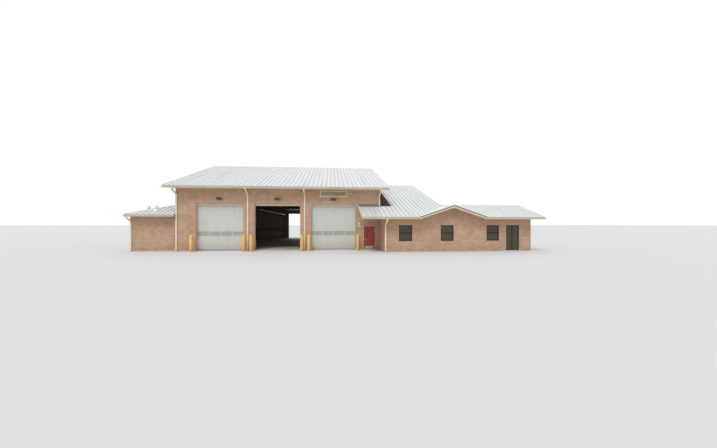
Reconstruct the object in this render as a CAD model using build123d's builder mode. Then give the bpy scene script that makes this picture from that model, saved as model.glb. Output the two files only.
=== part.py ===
"""Fire station: a three-bay apparatus hall, a low wing with a canopy, and a lean-to.

Millimetres. The origin is on the ground at the centre of the hall, +X to the right seen from
the street, +Y to the rear, +Z up.
"""
import os

from build123d import *

os.makedirs("parts", exist_ok=True)

# Plan of the apparatus hall, whose width is that of its doorways and piers
hall_depth = 22600
hall_wall = 300
slab_thickness = 100
pitch = 1 / 3

# Vehicle doorways and their sectional doors
doorway_width = 4267
doorway_head = 4470
doorway_count = 3
left_pier = 1780
middle_pier = 1016
doorway_jamb_width = 40
doorway_header_height = 200
doorway_trim_depth = 150
door_sections = 7
door_thickness = 50
door_edge_in_track = 20
door_joint_width = 14
door_joint_depth = 9
glazed_section = 2
lites_per_door = 4
lite_mullion = 60
lite_height = 400
lite_drop = 40
lite_thickness = 8
door_over_head = 25

# Door tracks: channels that bend from the jamb to the horizontal
track_wall = 3
track_depth = 40
track_bend = 380
track_run = 4460
track_foot_gap = 30
hanger_width = 40
hanger_thickness = 5
hanger_setback = 120

# Torsion shafts over the doorways
shaft_radius = 16
shaft_past_doorway = 200
shaft_from_wall = 110
shaft_above_track = 120
drum_radius = 70
drum_width = 60
drum_inset = 40
spring_radius = 38
spring_length = 1100
spring_from_centre = 30
bearing_plate = 10
bearing_height = 160
bearing_past_shaft = 40

# Roof of the hall
hall_eave_top = 6050
hall_eave_overhang = 800
hall_rake_overhang = 750
hall_roof_thickness = 200
ridge_gap = 20
ridge_cap_reach = 200
ridge_cap_rise = 45
ridge_cap_sheet = 4

# Boards round the roof edges, and gutters
board = 25
board_drop = 50
hall_fascia_drop = 250
trim_gap = 2
gutter_width = 150
gutter_height = 140
gutter_sheet = 3
gutter_drop = 45
gutter_floor_share = 0.63
gutter_knee_share = 0.83
gutter_knee_rise = 0.45
spout_width = 125
spout_depth = 90
spout_sheet = 3
spout_bend = 90
spout_neck = 110
spout_outlet_share = 0.35
spout_offset_fall = 0.5
spout_standoff = 2
spout_from_corner = 80
spout_off_pier_centre = 100
spout_clear_of_ground = 60

# Entry door in the hall's front wall
entry_left_margin = 857
entry_right_margin = 540
entry_width = 1040
entry_head = 2290
entry_frame_face = 55
entry_frame_depth = 146
entry_frame_setback = 12
entry_hinge_gap = 6
entry_free_gap = 8
entry_head_gap = 6
entry_floor_gap = 12
entry_stop = 16
entry_stop_gap = 5
leaf_thickness = 45
leaf_lite_width = 110
leaf_lite_height = 800
leaf_lite_margin = 150
leaf_lite_sill = 1100
kick_height = 250
kick_margin = 25
kick_sheet = 2
handle_height = 1020
handle_margin = 70
handle_plate = (46, 190, 5)
lever_radius = 9
lever_reach = 55
lever_length = 120
hinge_count = 3
hinge_height = 110
hinge_radius = 8
hinge_axis_out = 9
hinge_plate = 3
hinge_plate_width = 34
hinge_split = 0.3

# Wing to the right of the hall
wing_wall = 200
wing_forward = 2440
wing_eave_top = 3200
wing_eave_overhang = 800
wing_roof_thickness = 180
wing_fascia_drop = 230
link_width = 1500
high_wing_width = 4480
high_wing_overhang = 300
low_wing_length = 7970
low_wing_depth = 6080
low_wing_overhang = 800
canopy_reach = 2120
link_roof_fall = 900
link_roof_thickness = 150
link_slope_gap = 150
beam_bottom = 2700
front_gable_from_hall = 6150
front_gable_half_width = 3100

# Windows of the wing
window_width = 1219
window_sill = 1010
window_head = 2430
window_frame_face = 50
window_frame_depth = 70
window_setback = 70
pane_thickness = 8
front_windows_from_hall = (1920, 5820, 10205)
tall_window_from_hall = 12155
tall_window_width = 1290
rear_windows_from_link = (675, 2975)
low_rear_windows_from_end = (2475, 5675)
side_windows_from_rear = (2300, 6100, 10700, 15300)

# Lean-to on the left of the hall
lean_width = 4100
lean_setback = 300
lean_depth = 9000
lean_wall = 200
lean_eave_top = 3450
lean_side_overhang = 100
lean_end_overhang = 600
lean_roof_thickness = 200
lean_fascia_drop = 230
vents_from_hall_corner = ((3120, 1320), (2175, 850))
vent_pipe_radius = 110
vent_cap_radius = 190
vent_height = 330
vent_cap_height = 120
vent_cap_taper = 12
vent_in_roof = 60

# Things on and in front of the front wall
bollard_radius = 135
bollard_height = 1550
bollard_ahead = 570
bollard_beside = 170
bollard_round = 0.6
floodlight_height = 4910
floodlight_spread = 150
floodlight_head = (190, 120, 210)
floodlight_arm = 20
floodlight_box = (130, 60, 110)
floodlight_tilt = 20
sign_from_doorway = 854
sign_width = 2600
sign_above_floodlight = 270
sign_height = 560
sign_depth = 60
sign_frame = 60
sign_recess = 20
wall_light_offset = 390
wall_light_height = 2340
wall_light_box = (170, 180, 110)
wall_light_corner = 30
wall_light_globe_rise = 230
wall_light_globe_radius = 90
wall_light_globe_depth = 130

# Rail hung under the roof inside the hall
rail_from_doorway = 238
rail_bottom = 3980
rail_height = 130
rail_width = 110
rail_sheet = 6
rail_mouth = 40
rail_from_wall = 2400
rail_hangers = 6

# Places worked out from the sizes above
hall_width = (
    left_pier
    + doorway_count * doorway_width
    + (doorway_count - 1) * middle_pier
    + entry_left_margin
    + entry_width
    + entry_right_margin
)
left = -hall_width / 2
right = hall_width / 2
front = -hall_depth / 2
rear = hall_depth / 2
floor = slab_thickness
front_inner = front + hall_wall
rear_inner = rear - hall_wall
doorway_starts = [left + left_pier + i * (doorway_width + middle_pier) for i in range(doorway_count)]
last_doorway_end = doorway_starts[-1] + doorway_width
hall_half_run = hall_depth / 2 + hall_eave_overhang
hall_roof_left = left - hall_rake_overhang
hall_roof_right = right + hall_rake_overhang

wing_front = front - wing_forward
wing_front_eave = wing_front - wing_eave_overhang
wing_rear_eave = rear + wing_eave_overhang
high_ridge_y = (wing_front_eave + wing_rear_eave) / 2
high_wall_left = right + link_width
high_wall_right = high_wall_left + high_wing_width
high_roof_left = high_wall_left - high_wing_overhang
high_roof_right = high_wall_right + high_wing_overhang
low_wing_end = high_wall_right + low_wing_length
low_wing_rear = wing_front + low_wing_depth
low_roof_end = low_wing_end + low_wing_overhang
low_rear_eave = low_wing_rear + wing_eave_overhang
low_ridge_y = (wing_front_eave + low_rear_eave) / 2
canopy_left = right - canopy_reach
front_gable_centre = right + front_gable_from_hall
step_over_low_roof = wing_fascia_drop / (2 * pitch) + trim_gap

lean_left = left - lean_width
lean_front = front + lean_setback
lean_rear = lean_front + lean_depth
lean_eave_x = lean_left - lean_side_overhang
lean_front_eave = lean_front - lean_end_overhang
lean_rear_eave = lean_rear + lean_end_overhang


def hall_roof_top(y):
    """Height of the hall's roof surface above a line at y."""
    return hall_eave_top + (hall_half_run - abs(y)) * pitch


def hall_roof_under(y):
    return hall_roof_top(y) - hall_roof_thickness


def wing_front_top(y):
    """Height of the plane that holds the canopy and every front slope of the wing."""
    return wing_eave_top + (y - wing_front_eave) * pitch


def high_rear_top(y):
    return wing_eave_top + (wing_rear_eave - y) * pitch


def low_rear_top(y):
    return wing_eave_top + (low_rear_eave - y) * pitch


def front_under(y):
    return wing_front_top(y) - wing_roof_thickness


def high_rear_under(y):
    return high_rear_top(y) - wing_roof_thickness


def low_rear_under(y):
    return low_rear_top(y) - wing_roof_thickness


def facing_street(y):
    """Sketch plane at y seen from the street: x to the right, y up."""
    return Plane.XZ.offset(-y)


def across(x):
    """Sketch plane at x: its x runs to the rear, its y up."""
    return Plane.YZ.offset(x)


def level(z):
    return Plane.XY.offset(z)


def panel(u_low, u_high, v_low, v_high, mode=Mode.ADD):
    """Rectangle in the current sketch, given by its edges."""
    with Locations(((u_low + u_high) / 2, (v_low + v_high) / 2)):
        Rectangle(u_high - u_low, v_high - v_low, mode=mode)


def slope_band(y_low, y_high, top):
    """Cut through a roof slope between two lines, of the wing's roof thickness."""
    Polygon(
        (y_low, top(y_low) - wing_roof_thickness),
        (y_high, top(y_high) - wing_roof_thickness),
        (y_high, top(y_high)),
        (y_low, top(y_low)),
        align=None,
    )


def save(piece, label):
    piece.part.label = label
    export_step(piece.part, f"parts/{label}.step")


# Floor: one slab under the hall, the wing and the lean-to
with BuildPart() as floor_slab:
    with BuildSketch():
        panel(left, right, front, rear)
        panel(right, high_wall_right, wing_front, rear)
        panel(high_wall_right, low_wing_end, wing_front, low_wing_rear)
        panel(lean_left, left, lean_front, lean_rear)
    extrude(amount=slab_thickness)
save(floor_slab, "floor_slab")

# Front wall of the hall
entry_start = last_doorway_end + entry_left_margin
entry_end = entry_start + entry_width
pier_ranges = [(left, doorway_starts[0])] + [
    (start - middle_pier, start) for start in doorway_starts[1:]
]

with BuildPart() as hall_front_piers:
    with BuildSketch(facing_street(front)):
        for start, end in pier_ranges:
            panel(start, end, floor, doorway_head)
    extrude(amount=-hall_wall)
save(hall_front_piers, "hall_front_piers")

with BuildPart() as entry_wall_piers:
    with BuildSketch(facing_street(front)):
        panel(last_doorway_end, entry_start, floor, doorway_head)
        panel(entry_end, right, floor, doorway_head)
    extrude(amount=-hall_wall)
save(entry_wall_piers, "entry_wall_piers")

with BuildPart() as entry_wall_over:
    with BuildSketch(facing_street(front)):
        panel(entry_start, entry_end, entry_head, doorway_head)
    extrude(amount=-hall_wall)
save(entry_wall_over, "entry_wall_over")

header_top = hall_roof_under(front)
with BuildPart() as door_headers:
    for face, into in ((front, -hall_wall), (rear, hall_wall)):
        with BuildSketch(facing_street(face)):
            panel(left, right, doorway_head, header_top)
        extrude(amount=into)
save(door_headers, "door_headers")

with BuildPart() as hall_rear_piers:
    with BuildSketch(facing_street(rear)):
        for start, end in pier_ranges + [(last_doorway_end, right)]:
            panel(start, end, floor, doorway_head)
    extrude(amount=hall_wall)
save(hall_rear_piers, "hall_rear_piers")

# Gable walls of the hall, up to the underside of the roof
for label, outer in (("hall_left_wall", left), ("hall_right_wall", right - hall_wall)):
    with BuildPart() as gable_wall:
        with BuildSketch(across(outer)):
            Polygon(
                (front_inner, floor),
                (rear_inner, floor),
                (rear_inner, hall_roof_under(rear_inner)),
                (0, hall_roof_under(0)),
                (front_inner, hall_roof_under(front_inner)),
                align=None,
            )
        extrude(amount=hall_wall)
    save(gable_wall, label)

# Roof of the hall: two slopes with an open joint under the ridge cap
with BuildPart() as hall_roof_slopes:
    for side in (-1, 1):
        with BuildSketch(across(hall_roof_left)):
            eave, ridge = side * hall_half_run, side * ridge_gap / 2
            Polygon(
                (eave, hall_roof_under(eave)),
                (ridge, hall_roof_under(ridge)),
                (ridge, hall_roof_top(ridge)),
                (eave, hall_roof_top(eave)),
                align=None,
            )
        extrude(amount=hall_roof_right - hall_roof_left)
save(hall_roof_slopes, "hall_roof_slopes")


def cap_points(ridge_y, ridge_top):
    """Outline of a ridge cap: a bent sheet on two legs that stand on the slopes."""
    foot = ridge_top - ridge_cap_reach * pitch
    lift = foot + ridge_cap_rise
    peak = ridge_top + ridge_cap_rise
    inner = ridge_cap_reach - ridge_cap_sheet
    return [
        (ridge_y - ridge_cap_reach, foot),
        (ridge_y - ridge_cap_reach, lift),
        (ridge_y, peak),
        (ridge_y + ridge_cap_reach, lift),
        (ridge_y + ridge_cap_reach, foot),
        (ridge_y + inner, foot + ridge_cap_sheet * pitch),
        (ridge_y + inner, lift - ridge_cap_sheet),
        (ridge_y, peak - ridge_cap_sheet * (1 + pitch)),
        (ridge_y - inner, lift - ridge_cap_sheet),
        (ridge_y - inner, foot + ridge_cap_sheet * pitch),
    ]


with BuildPart() as ridge_caps:
    for ridge_y, top, start, end in (
        (0, hall_roof_top(0), hall_roof_left, hall_roof_right),
        (high_ridge_y, wing_front_top(high_ridge_y), high_roof_left, high_roof_right),
        (low_ridge_y, wing_front_top(low_ridge_y), high_roof_right, low_roof_end),
    ):
        with BuildSketch(across(start)):
            Polygon(*cap_points(ridge_y, top), align=None)
        extrude(amount=end - start)
save(ridge_caps, "ridge_caps")


def fascia_points(eave_y, out, low, top):
    """Outline of the board on an eave that faces out, -1 or 1."""
    return [
        (eave_y, low),
        (eave_y + out * board, low),
        (eave_y + out * board, top - board_drop),
        (eave_y, top - board_drop),
    ]


def soffit_points(eave_y, wall_y, low):
    return [(wall_y, low), (eave_y, low), (eave_y, low + board), (wall_y, low + board)]


def return_points(eave_y, wall_y, low, under):
    """Outline of the board that closes the end of a soffit, up to the underside of the roof."""
    return [(wall_y, low), (eave_y, low), (eave_y, under(eave_y)), (wall_y, under(wall_y))]


def rake_points(low_y, high_y, top, height):
    """Outline of a rake board along one slope, just under the roof surface."""
    return [
        (low_y, top(low_y) - height),
        (high_y, top(high_y) - height),
        (high_y, top(high_y) - board / 2),
        (low_y, top(low_y) - board / 2),
    ]


hall_soffit = hall_eave_top - hall_fascia_drop
with BuildPart() as hall_roof_trim:
    for side in (-1, 1):
        eave, wall = side * hall_half_run, side * rear
        with BuildSketch(across(hall_roof_left + trim_gap)):
            Polygon(*fascia_points(eave, side, hall_soffit, hall_eave_top), align=None)
        extrude(amount=hall_roof_right - hall_roof_left - 2 * trim_gap)
        with BuildSketch(across(left)):
            Polygon(*soffit_points(eave, wall, hall_soffit), align=None)
        extrude(amount=hall_width)
        for end in (left, right - board):
            with BuildSketch(across(end)):
                Polygon(*return_points(eave, wall, hall_soffit, hall_roof_under), align=None)
            extrude(amount=board)
        for outer in (hall_roof_left - board, hall_roof_right):
            with BuildSketch(across(outer)):
                Polygon(*rake_points(eave, side * trim_gap / 2, hall_roof_top, hall_fascia_drop), align=None)
            extrude(amount=board)
save(hall_roof_trim, "hall_roof_trim")

# Vehicle doorways: trim inside each opening
with BuildPart() as doorway_trim:
    for plane, into in (
        (facing_street(front_inner), doorway_trim_depth),
        (facing_street(rear_inner), -doorway_trim_depth),
    ):
        with BuildSketch(plane):
            for start in doorway_starts:
                end = start + doorway_width
                panel(start, end, floor, doorway_head)
                panel(
                    start + doorway_jamb_width,
                    end - doorway_jamb_width,
                    floor,
                    doorway_head - doorway_header_height,
                    mode=Mode.SUBTRACT,
                )
        extrude(amount=into)
save(doorway_trim, "doorway_trim")

# Sectional doors. Each is cut from one side profile: sections with a groove at every joint.
door_bottom = floor
door_top = doorway_head + door_over_head
section_height = (door_top - door_bottom) / door_sections
track_half = door_thickness / 2 + track_wall
track_centre_front = front_inner + track_half
track_centre_rear = rear_inner - track_half
track_level = door_top + track_bend
raised_start = track_bend + door_thickness


def door_profile(along):
    """Side outline of a door as (distance along it, distance from its mid plane) pairs."""
    half = door_thickness / 2
    face = [(0, half)]
    for joint in range(1, door_sections):
        centre = joint * section_height
        face += [
            (centre - door_joint_width / 2, half),
            (centre, half - door_joint_depth),
            (centre + door_joint_width / 2, half),
        ]
    face.append((along, half))
    return face + [(u, -v) for u, v in reversed(face)]


door_length = door_top - door_bottom
lite_pitch = doorway_width / lites_per_door
lite_width = lite_pitch - lite_mullion
lite_along = (glazed_section + 0.5) * section_height - lite_drop


def lite_centres(start):
    return [start + (i + 0.5) * lite_pitch for i in range(lites_per_door)]


door_names = ("left", "middle", "right")
raised = "middle"
panes = []
for end_name, centre_line, inward in (
    ("front", track_centre_front, 1),
    ("rear", track_centre_rear, -1),
):
    for door_name, start in zip(door_names, doorway_starts):
        with BuildPart() as door:
            with BuildSketch(across(start - door_edge_in_track)):
                outline = door_profile(door_length)
                if door_name == raised:
                    points = [
                        (centre_line + inward * (raised_start + u), track_level + v) for u, v in outline
                    ]
                else:
                    points = [(centre_line + v, door_bottom + u) for u, v in outline]
                Polygon(*points, align=None)
            extrude(amount=doorway_width + 2 * door_edge_in_track)
            if door_name == raised:
                row_plane = level(track_level - door_thickness)
                row = centre_line + inward * (raised_start + lite_along)
            else:
                row_plane = facing_street(centre_line + door_thickness)
                row = door_bottom + lite_along
            panes.append((row_plane, start, row))
            with BuildSketch(row_plane):
                for centre in lite_centres(start):
                    with Locations((centre, row)):
                        Rectangle(lite_width, lite_height)
            extrude(amount=2 * door_thickness, mode=Mode.SUBTRACT)
        save(door, f"{end_name}_door_{door_name}")

with BuildPart() as door_glazing:
    for row_plane, start, row in panes:
        with BuildSketch(row_plane.offset(door_thickness - lite_thickness / 2)):
            for centre in lite_centres(start):
                with Locations((centre, row)):
                    Rectangle(lite_width, lite_height)
        extrude(amount=lite_thickness)
save(door_glazing, "door_glazing")

# Tracks: a channel on each side of every door, bent from the jamb to the horizontal
with BuildPart() as door_tracks:
    for centre_line, inward in ((track_centre_front, 1), (track_centre_rear, -1)):
        for start in doorway_starts:
            for edge, out in (
                (start - door_edge_in_track, -1),
                (start + doorway_width + door_edge_in_track, 1),
            ):
                with BuildLine(across(edge)):
                    FilletPolyline(
                        (centre_line, floor + track_foot_gap),
                        (centre_line, track_level),
                        (centre_line + inward * (track_bend + track_run), track_level),
                        radius=track_bend,
                    )
                with BuildSketch(level(floor + track_foot_gap)):
                    back = edge + out * (track_depth - door_edge_in_track)
                    lips = edge - out * door_edge_in_track
                    with Locations(((back + lips) / 2, centre_line)):
                        Rectangle(abs(back - lips), 2 * track_half)
                    hollow = back - out * track_wall
                    with Locations(((hollow + lips) / 2, centre_line)):
                        Rectangle(abs(hollow - lips), door_thickness, mode=Mode.SUBTRACT)
                sweep()
save(door_tracks, "door_tracks")

# Hangers that carry the level stretch of each track from the roof
with BuildPart() as track_hangers:
    for centre_line, inward in ((track_centre_front, 1), (track_centre_rear, -1)):
        far_end = centre_line + inward * (track_bend + track_run - hanger_setback)
        middle = centre_line + inward * (track_bend + track_run / 2)
        for start in doorway_starts:
            for edge, out in ((start, -1), (start + doorway_width, 1)):
                back = edge + out * track_depth
                with BuildSketch(across(min(back, back + out * hanger_thickness))):
                    for place in (middle, far_end):
                        low, high = place - hanger_width / 2, place + hanger_width / 2
                        Polygon(
                            (low, track_level - track_half),
                            (high, track_level - track_half),
                            (high, hall_roof_under(high)),
                            (low, hall_roof_under(low)),
                            align=None,
                        )
                extrude(amount=hanger_thickness)
save(track_hangers, "track_hangers")

# Torsion shafts: a tube with two springs, a drum at each end, and plates that carry it on the header
with BuildPart() as door_springs:
    for wall, inward in ((front_inner, 1), (rear_inner, -1)):
        shaft_y = wall + inward * shaft_from_wall
        shaft_z = track_level + shaft_above_track
        for start in doorway_starts:
            shaft_start = start - shaft_past_doorway
            shaft_end = start + doorway_width + shaft_past_doorway
            middle = (shaft_start + shaft_end) / 2
            for low, high, radius in (
                (shaft_start, shaft_end, shaft_radius),
                (shaft_start + drum_inset, shaft_start + drum_inset + drum_width, drum_radius),
                (shaft_end - drum_inset - drum_width, shaft_end - drum_inset, drum_radius),
                (middle - spring_from_centre - spring_length, middle - spring_from_centre, spring_radius),
                (middle + spring_from_centre, middle + spring_from_centre + spring_length, spring_radius),
            ):
                with BuildSketch(across(low)):
                    with Locations((shaft_y, shaft_z)):
                        Circle(radius)
                extrude(amount=high - low)
            for place in (shaft_start, middle - bearing_plate / 2, shaft_end - bearing_plate):
                with BuildSketch(across(place)):
                    panel(
                        *sorted((wall, shaft_y + inward * bearing_past_shaft)),
                        shaft_z - bearing_height / 2,
                        shaft_z + bearing_height / 2,
                    )
                extrude(amount=bearing_plate)
save(door_springs, "door_springs")

# Rail under the roof, a channel with its mouth down, on flat hangers
rail_x = doorway_starts[1] - rail_from_doorway
rail_start = front_inner + rail_from_wall
rail_end = rear_inner - rail_from_wall
with BuildPart() as exhaust_rail:
    with BuildSketch(facing_street(rail_start)):
        panel(rail_x - rail_width / 2, rail_x + rail_width / 2, rail_bottom, rail_bottom + rail_height)
        panel(
            rail_x - rail_width / 2 + rail_sheet,
            rail_x + rail_width / 2 - rail_sheet,
            rail_bottom + rail_sheet,
            rail_bottom + rail_height - rail_sheet,
            mode=Mode.SUBTRACT,
        )
        panel(
            rail_x - rail_mouth / 2,
            rail_x + rail_mouth / 2,
            rail_bottom,
            rail_bottom + rail_sheet,
            mode=Mode.SUBTRACT,
        )
    extrude(amount=rail_start - rail_end)
    for hanger in range(rail_hangers):
        place = rail_start + (rail_end - rail_start) * (hanger + 0.5) / rail_hangers
        low, high = place - hanger_width / 2, place + hanger_width / 2
        with BuildSketch(across(rail_x - hanger_thickness / 2)):
            Polygon(
                (low, rail_bottom + rail_height),
                (high, rail_bottom + rail_height),
                (high, hall_roof_under(high)),
                (low, hall_roof_under(low)),
                align=None,
            )
        extrude(amount=hanger_thickness)
save(exhaust_rail, "exhaust_rail")

# Entry door: pressed metal frame with a stop behind the leaf
entry_face = front + entry_frame_setback
leaf_right = entry_end - entry_frame_face - entry_hinge_gap
leaf_left = entry_start + entry_frame_face + entry_free_gap
leaf_bottom = floor + entry_floor_gap
leaf_top = entry_head - entry_frame_face - entry_head_gap
hinge_x = leaf_right + entry_hinge_gap / 2
hinge_y = entry_face - hinge_axis_out
lite_left = leaf_left + leaf_lite_margin

with BuildPart() as entry_door_frame:
    with BuildSketch(facing_street(entry_face)):
        panel(entry_start, entry_end, floor, entry_head)
        panel(
            entry_start + entry_frame_face,
            entry_end - entry_frame_face,
            floor,
            entry_head - entry_frame_face,
            mode=Mode.SUBTRACT,
        )
    extrude(amount=-entry_frame_depth)
    with BuildSketch(facing_street(entry_face + leaf_thickness + entry_stop_gap)):
        panel(
            entry_start + entry_frame_face,
            entry_end - entry_frame_face,
            floor,
            entry_head - entry_frame_face,
        )
        panel(
            entry_start + entry_frame_face + entry_stop,
            entry_end - entry_frame_face - entry_stop,
            floor,
            entry_head - entry_frame_face - entry_stop,
            mode=Mode.SUBTRACT,
        )
    extrude(amount=leaf_thickness + entry_stop_gap - entry_frame_depth)
save(entry_door_frame, "entry_door_frame")

with BuildPart() as entry_door_leaf:
    with BuildSketch(facing_street(entry_face)):
        panel(leaf_left, leaf_right, leaf_bottom, leaf_top)
        panel(
            lite_left,
            lite_left + leaf_lite_width,
            leaf_lite_sill,
            leaf_lite_sill + leaf_lite_height,
            mode=Mode.SUBTRACT,
        )
    extrude(amount=-leaf_thickness)
save(entry_door_leaf, "entry_door_leaf")

with BuildPart() as entry_door_lite:
    with BuildSketch(facing_street(entry_face + (leaf_thickness - pane_thickness) / 2)):
        panel(lite_left, lite_left + leaf_lite_width, leaf_lite_sill, leaf_lite_sill + leaf_lite_height)
    extrude(amount=-pane_thickness)
save(entry_door_lite, "entry_door_lite")

with BuildPart() as entry_door_hardware:
    with BuildSketch(facing_street(entry_face)):
        panel(
            leaf_left + kick_margin,
            leaf_right - hinge_plate_width - kick_margin,
            leaf_bottom + kick_margin,
            leaf_bottom + kick_margin + kick_height,
        )
    extrude(amount=kick_sheet)
    plate_width, plate_height, plate_depth = handle_plate
    handle_x = leaf_left + handle_margin
    for face, out in ((entry_face, 1), (entry_face + leaf_thickness, -1)):
        with BuildSketch(facing_street(face)):
            with Locations((handle_x, handle_height)):
                RectangleRounded(plate_width, plate_height, plate_width / 4)
        extrude(amount=out * plate_depth)
        with BuildSketch(facing_street(face)):
            with Locations((handle_x, handle_height)):
                Circle(lever_radius)
        extrude(amount=out * lever_reach)
        with BuildSketch(across(handle_x - lever_radius)):
            with Locations((face - out * (lever_reach - lever_radius), handle_height)):
                Circle(lever_radius)
        extrude(amount=lever_length)
save(entry_door_hardware, "entry_door_hardware")

# Hinges: the lower knuckle is on the frame, the upper one on the leaf
hinge_spacing = (leaf_top - leaf_bottom) / hinge_count
hinge_levels = [leaf_bottom + (i + 0.5) * hinge_spacing - hinge_height / 2 for i in range(hinge_count)]
knuckle = (hinge_height - hinge_split) / 2
for label, lift, plate_side in (
    ("entry_hinges_frame", 0, 1),
    ("entry_hinges_leaf", knuckle + hinge_split, -1),
):
    with BuildPart() as hinges:
        for base in hinge_levels:
            with BuildSketch(level(base + lift)):
                with Locations((hinge_x, hinge_y)):
                    Circle(hinge_radius)
                with Locations((hinge_x + plate_side * hinge_plate_width / 2, entry_face - hinge_plate / 2)):
                    Rectangle(hinge_plate_width, hinge_plate)
            extrude(amount=knuckle)
    save(hinges, label)

# Wing walls
wing_wall_top = front_under(wing_front)
gable_peak = wing_eave_top + front_gable_half_width * pitch
gable_wall_peak = gable_peak - wing_roof_thickness
window_half = window_width / 2
front_window_centres = [right + distance for distance in front_windows_from_hall]
tall_window_centre = right + tall_window_from_hall
with BuildPart() as wing_front_wall:
    with BuildSketch(facing_street(wing_front)):
        panel(right, low_wing_end, floor, wing_wall_top)
        half = (gable_wall_peak - wing_wall_top) / pitch
        Polygon(
            (front_gable_centre - half, wing_wall_top),
            (front_gable_centre + half, wing_wall_top),
            (front_gable_centre, gable_wall_peak),
            align=None,
        )
        for centre in front_window_centres:
            panel(centre - window_half, centre + window_half, window_sill, window_head, mode=Mode.SUBTRACT)
        panel(
            tall_window_centre - tall_window_width / 2,
            tall_window_centre + tall_window_width / 2,
            floor,
            window_head,
            mode=Mode.SUBTRACT,
        )
    extrude(amount=-wing_wall)
save(wing_front_wall, "wing_front_wall")

link_front_top = front_under(front)
link_rear_top = link_front_top - link_roof_fall
rear_window_centres = [high_wall_left + distance for distance in rear_windows_from_link]
low_rear_window_centres = [low_wing_end - distance for distance in low_rear_windows_from_end]
with BuildPart() as wing_rear_walls:
    with BuildSketch(facing_street(rear)):
        panel(right, high_wall_left, floor, link_rear_top - link_roof_thickness)
        panel(high_wall_left, high_wall_right, floor, high_rear_under(rear))
        for centre in rear_window_centres:
            panel(centre - window_half, centre + window_half, window_sill, window_head, mode=Mode.SUBTRACT)
    extrude(amount=wing_wall)
    with BuildSketch(facing_street(low_wing_rear)):
        panel(high_wall_right, low_wing_end, floor, wing_wall_top)
        for centre in low_rear_window_centres:
            panel(centre - window_half, centre + window_half, window_sill, window_head, mode=Mode.SUBTRACT)
    extrude(amount=wing_wall)
save(wing_rear_walls, "wing_rear_walls")

wing_front_inner = wing_front + wing_wall
wing_rear_inner = rear - wing_wall
low_rear_inner = low_wing_rear - wing_wall
side_window_centres = [rear - distance for distance in side_windows_from_rear]
with BuildPart() as wing_side_walls:
    with BuildSketch(across(right)):
        panel(wing_front_inner, front, floor, wing_wall_top)
    extrude(amount=wing_wall)
    with BuildSketch(across(high_wall_right - wing_wall)):
        Polygon(
            (low_rear_inner, floor),
            (wing_rear_inner, floor),
            (wing_rear_inner, high_rear_under(wing_rear_inner)),
            (high_ridge_y, high_rear_under(high_ridge_y)),
            (wing_front_inner, front_under(wing_front_inner)),
            (wing_front_inner, beam_bottom),
            (low_rear_inner, beam_bottom),
            align=None,
        )
        for centre in side_window_centres:
            panel(centre - window_half, centre + window_half, window_sill, window_head, mode=Mode.SUBTRACT)
    extrude(amount=wing_wall)
    with BuildSketch(across(low_wing_end - wing_wall)):
        Polygon(
            (wing_front_inner, floor),
            (low_rear_inner, floor),
            (low_rear_inner, low_rear_under(low_rear_inner)),
            (low_ridge_y, low_rear_under(low_ridge_y)),
            (wing_front_inner, front_under(wing_front_inner)),
            align=None,
        )
        panel(
            low_ridge_y - window_half,
            low_ridge_y + window_half,
            window_sill,
            window_head,
            mode=Mode.SUBTRACT,
        )
    extrude(amount=wing_wall)
save(wing_side_walls, "wing_side_walls")

# Metal-clad gable of the high part, above the link roof
with BuildPart() as wing_left_gable:
    with BuildSketch(across(high_wall_left)):
        Polygon(
            (wing_front_inner, beam_bottom),
            (wing_rear_inner, beam_bottom),
            (wing_rear_inner, high_rear_under(wing_rear_inner)),
            (high_ridge_y, high_rear_under(high_ridge_y)),
            (wing_front_inner, front_under(wing_front_inner)),
            align=None,
        )
    extrude(amount=wing_wall)
save(wing_left_gable, "wing_left_gable")

# Window frames and glass: (plane on the outer face, depth direction, centre, half width, sill)
window_places = [
    (plane, inward, centre, window_half, window_sill)
    for plane, inward, centres in (
        (facing_street(wing_front + window_setback), -1, front_window_centres),
        (facing_street(rear - window_setback), 1, rear_window_centres),
        (facing_street(low_wing_rear - window_setback), 1, low_rear_window_centres),
        (across(high_wall_right - window_setback), -1, side_window_centres),
        (across(low_wing_end - window_setback), -1, (low_ridge_y,)),
    )
    for centre in centres
]
window_places.append(
    (facing_street(wing_front + window_setback), -1, tall_window_centre, tall_window_width / 2, floor)
)



def window_lights(centre, half, sill):
    """Edges of a window's two lights: side by side down to the floor, otherwise one over the other."""
    bar = window_frame_face / 2
    u_low, u_high = centre - half + window_frame_face, centre + half - window_frame_face
    v_low, v_high = sill + window_frame_face, window_head - window_frame_face
    if sill == floor:
        return (u_low, centre - bar, v_low, v_high), (centre + bar, u_high, v_low, v_high)
    rail = (sill + window_head) / 2
    return (u_low, u_high, v_low, rail - bar), (u_low, u_high, rail + bar, v_high)


with BuildPart() as window_frames:
    for plane, inward, centre, half, sill in window_places:
        with BuildSketch(plane):
            panel(centre - half, centre + half, sill, window_head)
            for light in window_lights(centre, half, sill):
                panel(*light, mode=Mode.SUBTRACT)
        extrude(amount=inward * window_frame_depth)
save(window_frames, "window_frames")

with BuildPart() as window_glass:
    for plane, inward, centre, half, sill in window_places:
        with BuildSketch(plane.offset(inward * (window_frame_depth - pane_thickness) / 2)):
            for light in window_lights(centre, half, sill):
                panel(*light)
        extrude(amount=inward * pane_thickness)
save(window_glass, "window_glass")

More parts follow.
